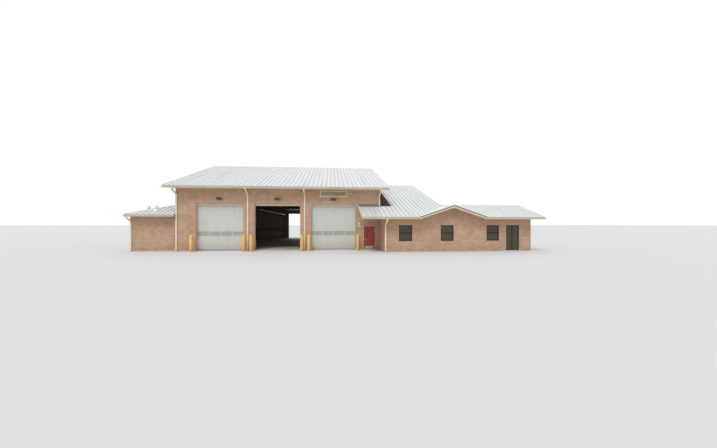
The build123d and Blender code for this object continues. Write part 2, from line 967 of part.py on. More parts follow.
# Wing roofs: canopy, high part and low part share one front plane, open under the front gable
gable_left = front_gable_centre - front_gable_half_width
gable_right = front_gable_centre + front_gable_half_width
gable_meets_slope = wing_front_eave + front_gable_half_width
valley_run = wing_front_inner - wing_front_eave
with BuildPart() as wing_front_slope:
    for start, end, upper in (
        (canopy_left, high_roof_left, front),
        (high_roof_left, high_roof_right, high_ridge_y - ridge_gap / 2),
        (high_roof_right, low_roof_end, low_ridge_y - ridge_gap / 2),
    ):
        with BuildSketch(across(start)):
            slope_band(wing_front_eave, upper, wing_front_top)
        extrude(amount=end - start)
    with BuildSketch():
        Polygon(
            (gable_left, wing_front_eave),
            (gable_right, wing_front_eave),
            (gable_right - valley_run, wing_front_inner),
            (gable_left + valley_run, wing_front_inner),
            align=None,
        )
    extrude(amount=2 * gable_peak, mode=Mode.SUBTRACT)
save(wing_front_slope, "wing_front_slope")

with BuildPart() as wing_rear_slopes:
    with BuildSketch(across(high_roof_left)):
        slope_band(high_ridge_y + ridge_gap / 2, wing_rear_eave, high_rear_top)
    extrude(amount=high_roof_right - high_roof_left)
    for start, end, upper in (
        (high_roof_right, low_roof_end, low_ridge_y + ridge_gap / 2),
        (high_wall_right, high_roof_right, low_ridge_y + wing_roof_thickness / (2 * pitch)),
    ):
        with BuildSketch(across(start)):
            slope_band(upper, low_rear_eave, low_rear_top)
        extrude(amount=end - start)
save(wing_rear_slopes, "wing_rear_slopes")

with BuildPart() as link_roof:
    with BuildSketch(across(right)):
        Polygon(
            (front, link_front_top - link_roof_thickness),
            (rear, link_rear_top - link_roof_thickness),
            (rear, link_rear_top),
            (front, link_front_top),
            align=None,
        )
    extrude(amount=link_width)
save(link_roof, "link_roof")

# Front gable: a small pitched roof, mitred to the wing's slope at two valleys and laid on it behind the wall
with BuildPart() as front_gable_roof:
    with BuildSketch(facing_street(wing_front_eave)):
        Polygon(
            (gable_left, wing_eave_top),
            (front_gable_centre, gable_peak),
            (gable_right, wing_eave_top),
            (gable_right, wing_eave_top - wing_roof_thickness),
            (front_gable_centre, gable_peak - wing_roof_thickness),
            (gable_left, wing_eave_top - wing_roof_thickness),
            align=None,
        )
    extrude(amount=wing_front_eave - gable_meets_slope)
    with BuildSketch():
        Polygon(
            (gable_left, wing_front_eave),
            (gable_right, wing_front_eave),
            (front_gable_centre, gable_meets_slope),
            align=None,
        )
    extrude(amount=2 * gable_peak, mode=Mode.INTERSECT)
    with BuildSketch(across(gable_left)):
        Polygon(
            (wing_front_inner, 0),
            (gable_meets_slope, 0),
            (gable_meets_slope, gable_peak),
            (wing_front_inner, wing_front_top(wing_front_inner)),
            align=None,
        )
    extrude(amount=gable_right - gable_left, mode=Mode.SUBTRACT)
save(front_gable_roof, "front_gable_roof")

# Fascias, soffits and rake boards of the wing
wing_soffit = wing_eave_top - wing_fascia_drop
front_edge = (wing_front_eave, -1, wing_front, front_under)
rear_edge = (wing_rear_eave, 1, rear, high_rear_under)
low_edge = (low_rear_eave, 1, low_wing_rear, low_rear_under)
with BuildPart() as wing_roof_trim:
    for (eave, out, wall, under), fascia_start, fascia_end, soffit_start, soffit_end in (
        (front_edge, canopy_left + trim_gap, gable_left, right, gable_left),
        (front_edge, gable_right, low_roof_end - trim_gap, gable_right, low_wing_end),
        (rear_edge, high_roof_left + trim_gap, high_roof_right - trim_gap, high_wall_left, high_wall_right),
        (low_edge, high_wall_right, low_roof_end - trim_gap, high_wall_right, low_wing_end),
    ):
        with BuildSketch(across(fascia_start)):
            Polygon(*fascia_points(eave, out, wing_soffit, wing_eave_top), align=None)
        extrude(amount=fascia_end - fascia_start)
        with BuildSketch(across(soffit_start)):
            Polygon(*soffit_points(eave, wall, wing_soffit), align=None)
        extrude(amount=soffit_end - soffit_start)
        for end in (soffit_start, soffit_end - board):
            with BuildSketch(across(end)):
                Polygon(*return_points(eave, wall, wing_soffit, under), align=None)
            extrude(amount=board)
    for outer, low_y, high_y, top in (
        (canopy_left - board, wing_front_eave, front, wing_front_top),
        (high_roof_left - board, front + link_slope_gap, high_ridge_y - trim_gap, wing_front_top),
        (high_roof_left - board, high_ridge_y + trim_gap, wing_rear_eave, high_rear_top),
        (high_roof_right, low_ridge_y + step_over_low_roof, high_ridge_y - trim_gap, wing_front_top),
        (high_roof_right, high_ridge_y + trim_gap, wing_rear_eave, high_rear_top),
        (low_roof_end, wing_front_eave, low_ridge_y - trim_gap, wing_front_top),
        (low_roof_end, low_ridge_y + trim_gap, low_rear_eave, low_rear_top),
    ):
        with BuildSketch(across(outer)):
            Polygon(*rake_points(low_y, high_y, top, wing_fascia_drop), align=None)
        extrude(amount=board)
    for side in (-1, 1):
        with BuildSketch(facing_street(wing_front_eave)):
            foot = front_gable_centre + side * front_gable_half_width
            tip = front_gable_centre + side * trim_gap / 2
            Polygon(
                (foot, wing_eave_top - wing_fascia_drop),
                (tip, gable_peak - wing_fascia_drop),
                (tip, gable_peak - board / 2),
                (foot, wing_eave_top - board / 2),
                align=None,
            )
        extrude(amount=board)
save(wing_roof_trim, "wing_roof_trim")


def lean_shape(drop):
    """Hipped lean-to volume lowered by a drop: its side slope met by a hip at each end."""
    eave = lean_eave_top - drop
    with BuildPart() as shape:
        with BuildSketch(facing_street(lean_front_eave)):
            Polygon(
                (lean_eave_x, 0),
                (left, 0),
                (left, eave + (left - lean_eave_x) * pitch),
                (lean_eave_x, eave),
                align=None,
            )
        extrude(amount=lean_front_eave - lean_rear_eave)
        with BuildSketch(across(lean_eave_x)):
            half = (lean_rear_eave - lean_front_eave) / 2
            Polygon(
                (lean_front_eave, 0),
                (lean_rear_eave, 0),
                (lean_rear_eave, eave),
                (lean_front_eave + half, eave + half * pitch),
                (lean_front_eave, eave),
                align=None,
            )
        extrude(amount=left - lean_eave_x, mode=Mode.INTERSECT)
    return shape.part


lean_upper = lean_shape(0)
lean_lower = lean_shape(lean_roof_thickness)
with BuildPart() as lean_roof:
    add(lean_upper)
    add(lean_lower, mode=Mode.SUBTRACT)
save(lean_roof, "lean_roof")

# Fascia and soffit of the lean-to: a return at each end and a strip along the side
lean_trim_low = lean_eave_top - lean_fascia_drop
lean_trim_height = lean_fascia_drop - board_drop
with BuildPart() as lean_roof_trim:
    for eave, wall, out in ((lean_front_eave, lean_front, -1), (lean_rear_eave, lean_rear, 1)):
        with BuildSketch(level(lean_trim_low)):
            panel(lean_eave_x - board, left, min(eave, wall), max(eave, wall))
        extrude(amount=board)
        with BuildSketch(level(lean_trim_low)):
            panel(lean_eave_x - board, left, *sorted((eave, eave + out * board)))
            panel(lean_eave_x - board, lean_eave_x, *sorted((eave, wall)))
        extrude(amount=lean_trim_height)
    with BuildSketch(level(lean_trim_low)):
        panel(lean_eave_x - board, lean_left, lean_front + trim_gap, lean_rear - trim_gap)
    extrude(amount=board)
    with BuildSketch(level(lean_trim_low)):
        panel(lean_eave_x - board, lean_eave_x, lean_front + trim_gap, lean_rear - trim_gap)
    extrude(amount=lean_trim_height)
save(lean_roof_trim, "lean_roof_trim")

# Lean-to walls, under the lowest line of the roof
lean_wall_top = lean_eave_top + min(lean_side_overhang, lean_end_overhang) * pitch - lean_roof_thickness
with BuildPart() as lean_walls:
    with BuildSketch(level(floor)):
        panel(lean_left, left, lean_front, lean_rear)
        panel(lean_left + lean_wall, left, lean_front + lean_wall, lean_rear - lean_wall, mode=Mode.SUBTRACT)
    extrude(amount=lean_wall_top - floor)
save(lean_walls, "lean_walls")


def lean_roof_top(x, y):
    return lean_eave_top + min(x - lean_eave_x, y - lean_front_eave) * pitch


with BuildPart() as roof_vents:
    for aside, back in vents_from_hall_corner:
        x, y = left - aside, front + back
        base = lean_roof_top(x, y) - vent_in_roof
        top = base + vent_in_roof + vent_height
        with BuildSketch(level(base)):
            with Locations((x, y)):
                Circle(vent_pipe_radius)
        extrude(amount=top - base)
        with BuildSketch(level(top)):
            with Locations((x, y)):
                Circle(vent_cap_radius)
        extrude(amount=vent_cap_height, taper=vent_cap_taper)
    add(lean_upper, mode=Mode.SUBTRACT)
save(roof_vents, "roof_vents")


# Gutters
def gutter_points(face, out, top):
    """Outline of an open gutter that hangs on a board at face, out being -1 or 1."""
    low = top - gutter_height
    toe = gutter_width * gutter_floor_share
    knee = gutter_width * gutter_knee_share
    knee_level = low + gutter_height * gutter_knee_rise
    steps = [
        (0, top),
        (0, low),
        (toe, low),
        (knee, knee_level),
        (gutter_width, top),
        (gutter_width - gutter_sheet, top),
        (knee - gutter_sheet, knee_level),
        (toe - gutter_sheet, low + gutter_sheet),
        (gutter_sheet, low + gutter_sheet),
        (gutter_sheet, top),
    ]
    return [(face + out * u, v) for u, v in steps]


def cap_outline(face, out, top):
    return gutter_points(face, out, top)[:5]


# (plane, its direction along the run, start, end, face, way out, eave height)
gutter_runs = (
    (across, 1, hall_roof_left, hall_roof_right, -hall_half_run - board, -1, hall_eave_top),
    (across, 1, hall_roof_left, hall_roof_right, hall_half_run + board, 1, hall_eave_top),
    (across, 1, canopy_left, gable_left, wing_front_eave - board, -1, wing_eave_top),
    (across, 1, gable_right, low_roof_end, wing_front_eave - board, -1, wing_eave_top),
    (across, 1, high_roof_left, high_roof_right, wing_rear_eave + board, 1, wing_eave_top),
    (across, 1, high_wall_right, low_roof_end, low_rear_eave + board, 1, wing_eave_top),
    (across, 1, lean_eave_x - board, left, lean_front_eave - board, -1, lean_eave_top),
    (across, 1, lean_eave_x - board, left, lean_rear_eave + board, 1, lean_eave_top),
    (facing_street, -1, lean_front_eave, lean_rear_eave, lean_eave_x - board, -1, lean_eave_top),
)
with BuildPart() as gutters:
    for plane, way, start, end, face, out, eave_top in gutter_runs:
        top = eave_top - board_drop - gutter_drop
        with BuildSketch(plane(start)):
            Polygon(*gutter_points(face, out, top), align=None)
        extrude(amount=way * (end - start))
        for place in (start, end - gutter_sheet):
            with BuildSketch(plane(place)):
                Polygon(*cap_outline(face, out, top), align=None)
            extrude(amount=way * gutter_sheet)
save(gutters, "gutters")

# Downspouts: (x, gutter face, direction out, wall face, gutter bottom, foot height)
hall_gutter_low = hall_eave_top - board_drop - gutter_drop - gutter_height
wing_gutter_low = wing_eave_top - board_drop - gutter_drop - gutter_height
canopy_top_at_wall = wing_front_top(front)
pier_spouts = [start - middle_pier / 2 - spout_off_pier_centre for start in doorway_starts[1:]]
hall_gutter_face = hall_half_run + board
spouts = [
    (x, -hall_gutter_face, -1, front, hall_gutter_low, spout_clear_of_ground)
    for x in [left + spout_from_corner, *pier_spouts]
]
spouts.append(
    (right - spout_from_corner, -hall_gutter_face, -1, front, hall_gutter_low, canopy_top_at_wall)
)
spouts += [
    (x, hall_gutter_face, 1, rear, hall_gutter_low, spout_clear_of_ground)
    for x in [left + spout_from_corner, *pier_spouts, right - spout_from_corner]
]
spouts.append(
    (right + spout_from_corner, wing_front_eave - board, -1, wing_front, wing_gutter_low,
     spout_clear_of_ground)
)
lean_gutter_low = lean_eave_top - board_drop - gutter_drop - gutter_height
spouts.append(
    (lean_left + spout_from_corner, lean_front_eave - board, -1, lean_front, lean_gutter_low,
     spout_clear_of_ground)
)
with BuildPart() as downspouts:
    for x, face, out, wall, high, foot in spouts:
        outlet = face + out * gutter_width * spout_outlet_share
        run = wall + out * (spout_depth / 2 + spout_standoff)
        drop = abs(outlet - run) * spout_offset_fall
        with BuildLine(across(x)):
            FilletPolyline(
                (outlet, high),
                (outlet, high - spout_neck),
                (run, high - spout_neck - drop),
                (run, foot),
                radius=spout_bend,
            )
        with BuildSketch(level(high)):
            with Locations((x, outlet)):
                Rectangle(spout_width, spout_depth)
                Rectangle(spout_width - 2 * spout_sheet, spout_depth - 2 * spout_sheet, mode=Mode.SUBTRACT)
        sweep()
save(downspouts, "downspouts")

# Bollards beside the vehicle doorways
with BuildPart() as bollards:
    with BuildSketch():
        for start in doorway_starts:
            for x in (start - bollard_beside, start + doorway_width + bollard_beside):
                with Locations((x, front - bollard_ahead)):
                    Circle(bollard_radius)
    extrude(amount=bollard_height)
    tops = bollards.faces().filter_by(Axis.Z).group_by(Axis.Z)[-1]
    fillet(tops.edges(), bollard_radius * bollard_round)
save(bollards, "bollards")

# Floodlights over the doorways and a wall light beside the entry
with BuildPart() as outside_lights:
    head_width, head_depth, head_height = floodlight_head
    box_width, box_depth, box_height = floodlight_box
    for start in doorway_starts:
        centre = start + doorway_width / 2
        with Locations((centre, front - box_depth / 2, floodlight_height)):
            Box(box_width, box_depth, box_height)
        with Locations((centre, front - box_depth, floodlight_height)):
            Box(2 * floodlight_spread, floodlight_arm, floodlight_arm)
        for side in (-1, 1):
            place = (centre + side * floodlight_spread, front - box_depth - head_depth / 2, floodlight_height)
            with Locations(Location(place, (floodlight_tilt, 0, 0))):
                Box(head_width, head_depth, head_height)
    light_x = last_doorway_end + wall_light_offset
    with BuildSketch(facing_street(front)):
        with Locations((light_x, wall_light_height)):
            RectangleRounded(*wall_light_box[:2], wall_light_corner)
    extrude(amount=wall_light_box[2])
    with BuildSketch(facing_street(front)):
        with Locations((light_x, wall_light_height + wall_light_globe_rise)):
            Circle(wall_light_globe_radius)
    extrude(amount=wall_light_globe_depth)
save(outside_lights, "outside_lights")

# Sign panel above the right doorway: a framed plate with nothing on it
sign_left = doorway_starts[-1] + sign_from_doorway
sign_bottom = floodlight_height + sign_above_floodlight
with BuildPart() as sign_panel:
    with BuildSketch(facing_street(front)):
        panel(sign_left, sign_left + sign_width, sign_bottom, sign_bottom + sign_height)
    extrude(amount=sign_depth)
    with BuildSketch(facing_street(front - sign_depth)):
        panel(sign_left + sign_frame, sign_left + sign_width - sign_frame, sign_bottom + sign_frame,
              sign_bottom + sign_height - sign_frame)
    extrude(amount=-sign_recess, mode=Mode.SUBTRACT)
save(sign_panel, "sign_panel")
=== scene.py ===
import math

import bmesh
import bpy
from mathutils import Matrix, Vector


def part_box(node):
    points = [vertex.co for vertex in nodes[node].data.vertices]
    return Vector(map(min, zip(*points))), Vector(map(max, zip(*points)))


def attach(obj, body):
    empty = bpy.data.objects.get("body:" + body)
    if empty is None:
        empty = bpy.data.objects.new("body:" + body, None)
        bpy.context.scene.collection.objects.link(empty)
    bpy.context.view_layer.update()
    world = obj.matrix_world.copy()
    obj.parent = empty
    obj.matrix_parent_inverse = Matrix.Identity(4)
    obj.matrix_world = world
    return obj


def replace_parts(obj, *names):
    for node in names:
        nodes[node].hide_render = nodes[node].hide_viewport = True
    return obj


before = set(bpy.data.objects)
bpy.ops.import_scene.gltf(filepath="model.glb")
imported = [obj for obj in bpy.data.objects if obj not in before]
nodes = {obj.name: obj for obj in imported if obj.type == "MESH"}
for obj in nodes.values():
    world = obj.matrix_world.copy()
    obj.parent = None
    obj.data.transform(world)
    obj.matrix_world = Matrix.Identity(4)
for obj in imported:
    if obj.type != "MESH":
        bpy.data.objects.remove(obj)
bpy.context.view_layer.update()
scene = bpy.context.scene
print("frame loaded:", len(nodes), "nodes")


# the box round each separate solid of a node, from left to right
def solidBoxes(nodeName):
    bm = bmesh.new()
    bm.from_mesh(nodes[nodeName].data)
    bmesh.ops.remove_doubles(bm, verts=bm.verts, dist=1e-5)
    seen, boxes = set(), []
    for start in bm.verts:
        if start in seen:
            continue
        seen.add(start)
        stack, island = [start], []
        while stack:
            vert = stack.pop()
            island.append(vert.co)
            for edge in vert.link_edges:
                other = edge.other_vert(vert)
                if other not in seen:
                    seen.add(other)
                    stack.append(other)
        boxes.append(tuple(Vector([pick(co[i] for co in island) for i in range(3)]) for pick in (min, max)))
    bm.free()
    return sorted(boxes, key=lambda box: [round(value, 3) for value in box[0]])


# sizes of the solids that their boxes don't show, in metres
pitch = 1 / 3
hallWall, wingWall = 0.3, 0.2
hallRoofThickness, wingRoofThickness = 0.2, 0.18
leanRoofThickness, linkThickness = 0.2, 0.15
doorEdgeInTrack = 0.02

# places read from the frame
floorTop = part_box("floor_slab")[1].z
hallLeft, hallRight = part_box("hall_left_wall")[0].x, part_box("hall_right_wall")[1].x
hallFront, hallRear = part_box("hall_front_piers")[0].y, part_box("hall_rear_piers")[1].y
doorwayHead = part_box("hall_front_piers")[1].z
frontDoors = [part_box(name) for name in ("front_door_left", "front_door_middle", "front_door_right")]
doorways = [(low.x + doorEdgeInTrack, high.x - doorEdgeInTrack) for low, high in frontDoors]
hallRoofLow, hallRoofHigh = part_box("hall_roof_slopes")
hallRun = hallRoofHigh.y
hallEaveTop = hallRoofLow.z + hallRoofThickness
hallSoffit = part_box("hall_roof_trim")[0].z

wingRoofLow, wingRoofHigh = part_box("wing_front_slope")
wingFrontEave, wingRearEave = wingRoofLow.y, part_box("wing_rear_slopes")[1].y
wingEaveTop = wingRoofLow.z + wingRoofThickness
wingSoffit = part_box("wing_roof_trim")[0].z
canopyLeft, lowRoofEnd = wingRoofLow.x, wingRoofHigh.x
wingFront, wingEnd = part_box("wing_front_wall")[0].y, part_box("wing_front_wall")[1].x
sideWalls = solidBoxes("wing_side_walls")
highWallLeft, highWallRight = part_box("wing_left_gable")[0].x, sideWalls[1][1].x
lowWallRear = sideWalls[2][1].y + wingWall
ridgeBoxes = solidBoxes("ridge_caps")
lowRidge, highRidge = sorted(ridgeBoxes, key=lambda box: box[0].z)[:2]
lowRidgeY, highRidgeY = ((low.y + high.y) / 2 for low, high in (lowRidge, highRidge))
highRoofLeft, highRoofRight = highRidge[0].x, highRidge[1].x
lowRearEave = 2 * lowRidgeY - wingFrontEave
gableLeft, gableRight = (corner.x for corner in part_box("front_gable_roof"))
gableCentre = (gableLeft + gableRight) / 2
gableHalf = gableRight - gableCentre
linkLow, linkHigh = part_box("link_roof")

leanLow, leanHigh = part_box("lean_roof")
leanEaveTop = leanLow.z + leanRoofThickness
leanWallLow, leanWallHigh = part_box("lean_walls")
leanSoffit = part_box("lean_roof_trim")[0].z
leanRun = hallLeft - leanLow.x


# height of each roof's upper face
def hallTop(y):
    return hallEaveTop + (hallRun - abs(y)) * pitch


def wingTop(y):
    return wingEaveTop + (y - wingFrontEave) * pitch


def highRearTop(y):
    return wingEaveTop + (wingRearEave - y) * pitch


def lowRearTop(y):
    return wingEaveTop + (lowRearEave - y) * pitch


def gableTop(x):
    return wingEaveTop + (gableHalf - abs(x - gableCentre)) * pitch


def leanTop(x, y):
    return leanEaveTop + min(x - leanLow.x, y - leanLow.y, leanHigh.y - y) * pitch


def linkTop(y):
    rearTop = linkLow.z + linkThickness
    return linkHigh.z + (rearTop - linkHigh.z) * (y - linkLow.y) / (linkHigh.y - linkLow.y)


# height of a roof's lower face
def under(top, place):
    return top(place) - (hallRoofThickness if top is hallTop else wingRoofThickness)


# colours are written as seen, 0 to 255
seenColours = {
    "block light": (206, 174, 148),
    "block dark": (182, 147, 120),
    "mortar": (190, 164, 140),
    "inner block": (196, 170, 146),
    "inner joint": (160, 136, 116),
    "dirtAndShade": (104, 86, 68),
    "roof": (229, 232, 232),
    # also the colour that the painted shade beside the roof seams is mixed toward
    "roof stain and seam shade": (158, 164, 164),
    "trim": (214, 198, 176),
    "door": (206, 206, 200),
    "jamb": (216, 198, 174),
    "concrete": (176, 170, 160),
    "concrete bay": (184, 178, 168),
    "concrete joint": (86, 82, 78),
    "concrete stain": (120, 114, 106),
    "zinc": (168, 171, 173),
    "bronze": (27, 24, 21),
    "red": (166, 48, 38),
    "red frame": (120, 46, 36),
    "steel": (172, 172, 170),
    "cladding": (200, 209, 226),
    "bollard": (250, 198, 104),
    "lamp": (52, 46, 42),
    "vent": (250, 250, 244),
    "sign frame": (242, 226, 196),
    "sign plate": (158, 144, 116),
    "spout": (234, 219, 198),
    # painted shade under the street gable's sheet edge
    "gable edge shade": (104, 97, 88),
    # painted shade under the high wing's rake, on the cladding
    "rake shade": (72, 76, 86),
    # roof metal darkened as painted shade for the wall flashings
    "flashing": (124, 123, 130),
    "membrane": (190, 188, 182),
    "rubber": (40, 40, 40),
    "frosted pane": (172, 172, 162),
    # painted shade: the window and entry door panes are dark for the dark rooms behind the glass
    "dark pane": (70, 66, 42),
    "entry pane shade": (60, 62, 60),
    "lamp lens": (226, 224, 214),
    "flood lens": (88, 86, 80),
}


def asSeen(red, green, blue):
    def linear(value):
        value /= 255
        return value / 12.92 if value <= 0.04045 else ((value + 0.055) / 1.055) ** 2.4
    return (linear(red), linear(green), linear(blue), 1)


colours = {name: asSeen(*colour) for name, colour in seenColours.items()}


# an input takes a plain value or another node's output
def feed(tree, value, socket):
    if isinstance(value, bpy.types.NodeSocket):
        tree.links.new(value, socket)
    else:
        socket.default_value = value


def addNode(tree, kind, inputs=None, **settings):
    node = tree.nodes.new(kind)
    for key, value in settings.items():
        setattr(node, key, value)
    for key, value in (inputs or {}).items():
        feed(tree, value, node.inputs[key])
    return node


def calculate(tree, operation, *values):
    return addNode(tree, "ShaderNodeMath", dict(enumerate(values)), operation=operation).outputs[0]


def mixColours(tree, factor, first, second):
    return addNode(tree, "ShaderNodeMix", {0: factor, 6: first, 7: second}, data_type="RGBA").outputs[2]


# sum of values, each with its weight
def weighted(tree, *pairs):
    parts = [calculate(tree, "MULTIPLY", value, weight) for value, weight in pairs]
    total = parts[0]
    for part in parts[1:]:
        total = calculate(tree, "ADD", total, part)
    return total


def objectPlace(tree):
    return addNode(tree, "ShaderNodeTexCoord").outputs["Object"]


def splitPlace(tree, place):
    return addNode(tree, "ShaderNodeSeparateXYZ", {0: place}).outputs


def stretchedNoise(tree, place, scale, stretch=(1, 1, 1), detail=4, rough=0.6):
    mapping = addNode(tree, "ShaderNodeMapping", {"Vector": place, "Scale": stretch})
    sizes = {"Vector": mapping.outputs[0], "Scale": scale, "Detail": detail, "Roughness": rough}
    return addNode(tree, "ShaderNodeTexNoise", sizes).outputs["Fac"]


def mapRange(tree, value, start, end, low=0.0, high=1.0, **settings):
    limits = {"Value": value, "From Min": start, "From Max": end, "To Min": low, "To Max": high}
    return addNode(tree, "ShaderNodeMapRange", limits, **settings).outputs["Result"]


def stepUp(tree, value, start, end):
    return mapRange(tree, value, start, end, interpolation_type="SMOOTHSTEP")


# shader groups shared by the materials
def newShaderGroup(name, inputs, outputs):
    group = bpy.data.node_groups.new(name, "ShaderNodeTree")
    for label, value in inputs.items():
        kind = "NodeSocketColor" if isinstance(value, tuple) else "NodeSocketFloat"
        group.interface.new_socket(label, in_out="INPUT", socket_type=kind).default_value = value
    for label, kind in outputs.items():
        group.interface.new_socket(label, in_out="OUTPUT", socket_type=kind)
    return group, group.nodes.new("NodeGroupInput").outputs, group.nodes.new("NodeGroupOutput").inputs


# rain streaks, splashes near the ground and broad patches
def makeWeathering():
    group, given, result = newShaderGroup(
        "weathering",
        {"Color": (0.5, 0.5, 0.5, 1), "DirtAndShade": colours["dirtAndShade"], "Streaks": 0.3, "Splash": 0.3, "Patches": 0.2},
        {"Color": "NodeSocketColor", "Mask": "NodeSocketFloat"},
    )
    place = objectPlace(group)
    streaks = stepUp(group, stretchedNoise(group, place, 2.2, (1, 1, 0.12), 5), 0.52, 0.78)
    nearGround = mapRange(group, splitPlace(group, place)["Z"], 0.0, 0.9, 1.0, 0.0)
    splash = calculate(group, "MULTIPLY", nearGround, stretchedNoise(group, place, 3.5, detail=6, rough=0.7))
    patches = stepUp(group, stretchedNoise(group, place, 0.55, detail=3), 0.45, 0.72)
    effects = (streaks, given["Streaks"]), (splash, given["Splash"]), (patches, given["Patches"])
    mask = calculate(group, "MINIMUM", weighted(group, *effects), 1.0)
    feed(group, mixColours(group, mask, given["Color"], given["DirtAndShade"]), result["Color"])
    feed(group, mask, result["Mask"])
    return group


# two sizes of noise for the height of a bump
def makeRelief():
    group, given, result = newShaderGroup(
        "relief", {"Grain": 60.0, "Swell": 4.0, "Share": 0.5}, {"Height": "NodeSocketFloat"}
    )
    place = objectPlace(group)
    grain = {"Vector": place, "Scale": given["Grain"], "Detail": 6.0, "Roughness": 0.65}
    swell = {"Vector": place, "Scale": given["Swell"], "Detail": 2.0}
    noises = [addNode(group, "ShaderNodeTexNoise", sizes).outputs["Fac"] for sizes in (grain, swell)]
    mix = addNode(group, "ShaderNodeMix", {0: given["Share"], 2: noises[0], 3: noises[1]})
    feed(group, mix.outputs[0], result["Height"])
    return group


# painted shade beside each seam and a tone for each pan, counted along X, or along Y where the roof slopes
# along X
def makePanShade():
    group, given, result = newShaderGroup(
        "panShade",
        {"Start X": 0.0, "Pan X": 0.43, "Start Y": 0.0, "Pan Y": 0.43},
        {"DirtAndShade": "NodeSocketFloat", "Tone": "NodeSocketFloat"},
    )
    place = splitPlace(group, objectPlace(group))
    facing = splitPlace(group, addNode(group, "ShaderNodeNewGeometry").outputs["Normal"])
    counted, tilts = [], []
    for axis in ("X", "Y"):
        shift = calculate(group, "SUBTRACT", place[axis], given["Start " + axis])
        counted.append(calculate(group, "DIVIDE", shift, given["Pan " + axis]))
        tilts.append(calculate(group, "ABSOLUTE", facing[axis]))
    turned = calculate(group, "GREATER_THAN", *tilts)
    change = calculate(group, "MULTIPLY", turned, calculate(group, "SUBTRACT", counted[1], counted[0]))
    pans = calculate(group, "ADD", counted[0], change)
    share = calculate(group, "FRACT", pans)
    besideSeam = calculate(group, "MINIMUM", share, calculate(group, "SUBTRACT", 1.0, share))
    # the first output is painted shade, darkest right beside each seam
    dirtAndShade = mapRange(group, besideSeam, 0.1, 0.3, 1.0, 0.0, interpolation_type="SMOOTHSTEP")
    number = calculate(group, "FLOOR", pans)
    tone = addNode(group, "ShaderNodeTexWhiteNoise", {"W": number}, noise_dimensions="1D").outputs["Value"]
    feed(group, dirtAndShade, result["DirtAndShade"])
    feed(group, tone, result["Tone"])
    return group


weathering = makeWeathering()
relief = makeRelief()
panShade = makePanShade()


def startMaterial(name, roughness=0.6, metallic=0.0):
    material = bpy.data.materials.new(name)
    material.use_nodes = True
    shader = material.node_tree.nodes["Principled BSDF"]
    shader.inputs["Roughness"].default_value = roughness
    shader.inputs["Metallic"].default_value = metallic
    return material, material.node_tree, shader.inputs


# base colour with weathering over it; gives back where it is dirty
def paintOver(tree, inputs, colour, dirtAndShade, streaks, splash, patches):
    given = {"Color": colour, "DirtAndShade": dirtAndShade, "Streaks": streaks, "Splash": splash, "Patches": patches}
    group = addNode(tree, "ShaderNodeGroup", given, node_tree=weathering).outputs
    feed(tree, group["Color"], inputs["Base Color"])
    return group["Mask"]


def roughen(tree, inputs, grain, swell, share, strength, distance):
    given = {"Grain": grain, "Swell": swell, "Share": share}
    height = addNode(tree, "ShaderNodeGroup", given, node_tree=relief).outputs["Height"]
    bump = addNode(tree, "ShaderNodeBump", {"Strength": strength, "Distance": distance, "Height": height})
    feed(tree, bump.outputs[0], inputs["Normal"])


# courses of blocks or bays of a floor: colours, joint width, length and height
def addCourses(tree, place, tones, joint, length, height, offset=0.5):
    inputs = {label: colours[tone] for label, tone in zip(("Color1", "Color2", "Mortar"), tones)}
    inputs.update({"Vector": place, "Scale": 1.0, "Mortar Size": joint})
    inputs.update({"Brick Width": length, "Row Height": height})
    return addNode(tree, "ShaderNodeTexBrick", inputs, offset=offset).outputs["Color"]


blocks = {
    "length": 0.4064,
    "height": 0.2032,
    "joint": 0.0095,
    "proud": 0.006,
    "unevenness": 0.003,
    "bevel": 0.965,
    "sunk": 0.001,
    "smallest": 0.0025,
    "inner joint": 0.005,
    "seed": 7,
}

seams = {
    "pan": 0.43,
    "height": 0.055,
    "base": 0.075,
    "top": 0.035,
    "ribHeight": 0.007,
    "ribBase": 0.034,
    "ribTop": 0.012,
    "capReach": 0.2,
    "edge": 0.06,
    "valley": 0.14,
    # how dark the painted shade beside each seam is
    "dirtAndShade": 0.6,
    "tone": 0.12,
}

floorBays = {"length": 4.6, "width": 4.52, "joint": 0.006, "stain": 0.5}


# painted or coated sheet, with dirt and a slight unevenness
def paintMaterial(name, colour, dirtAndShade="dirtAndShade", roughness=0.5, metallic=0.0, streaks=0.15, splash=0.2,
                  patches=0.12, grain=40.0, bump=0.15):
    material, tree, inputs = startMaterial(name, roughness, metallic)
    mask = paintOver(tree, inputs, colours[colour], colours[dirtAndShade], streaks, splash, patches)
    feed(tree, mapRange(tree, mask, 0.0, 1.0, roughness, min(1, roughness + 0.35)), inputs["Roughness"])
    roughen(tree, inputs, grain, 1.5, 0.6, bump, 0.002)
    return material


# block faces: each block has its own tone, with a coarse split surface
def blockMaterial():
    material, tree, inputs = startMaterial("splitBlock", 0.9)
    tone = addNode(tree, "ShaderNodeAttribute", attribute_name="tone").outputs["Fac"]
    speckle = stepUp(tree, stretchedNoise(tree, objectPlace(tree), 55, detail=6, rough=0.75), 0.35, 0.7)
    shade = weighted(tree, (tone, 0.55), (speckle, 0.45))
    colour = mixColours(tree, shade, colours["block dark"], colours["block light"])
    paintOver(tree, inputs, colour, colours["dirtAndShade"], 0.16, 0.35, 0.14)
    roughen(tree, inputs, 70, 14, 0.45, 0.8, 0.012)
    return material


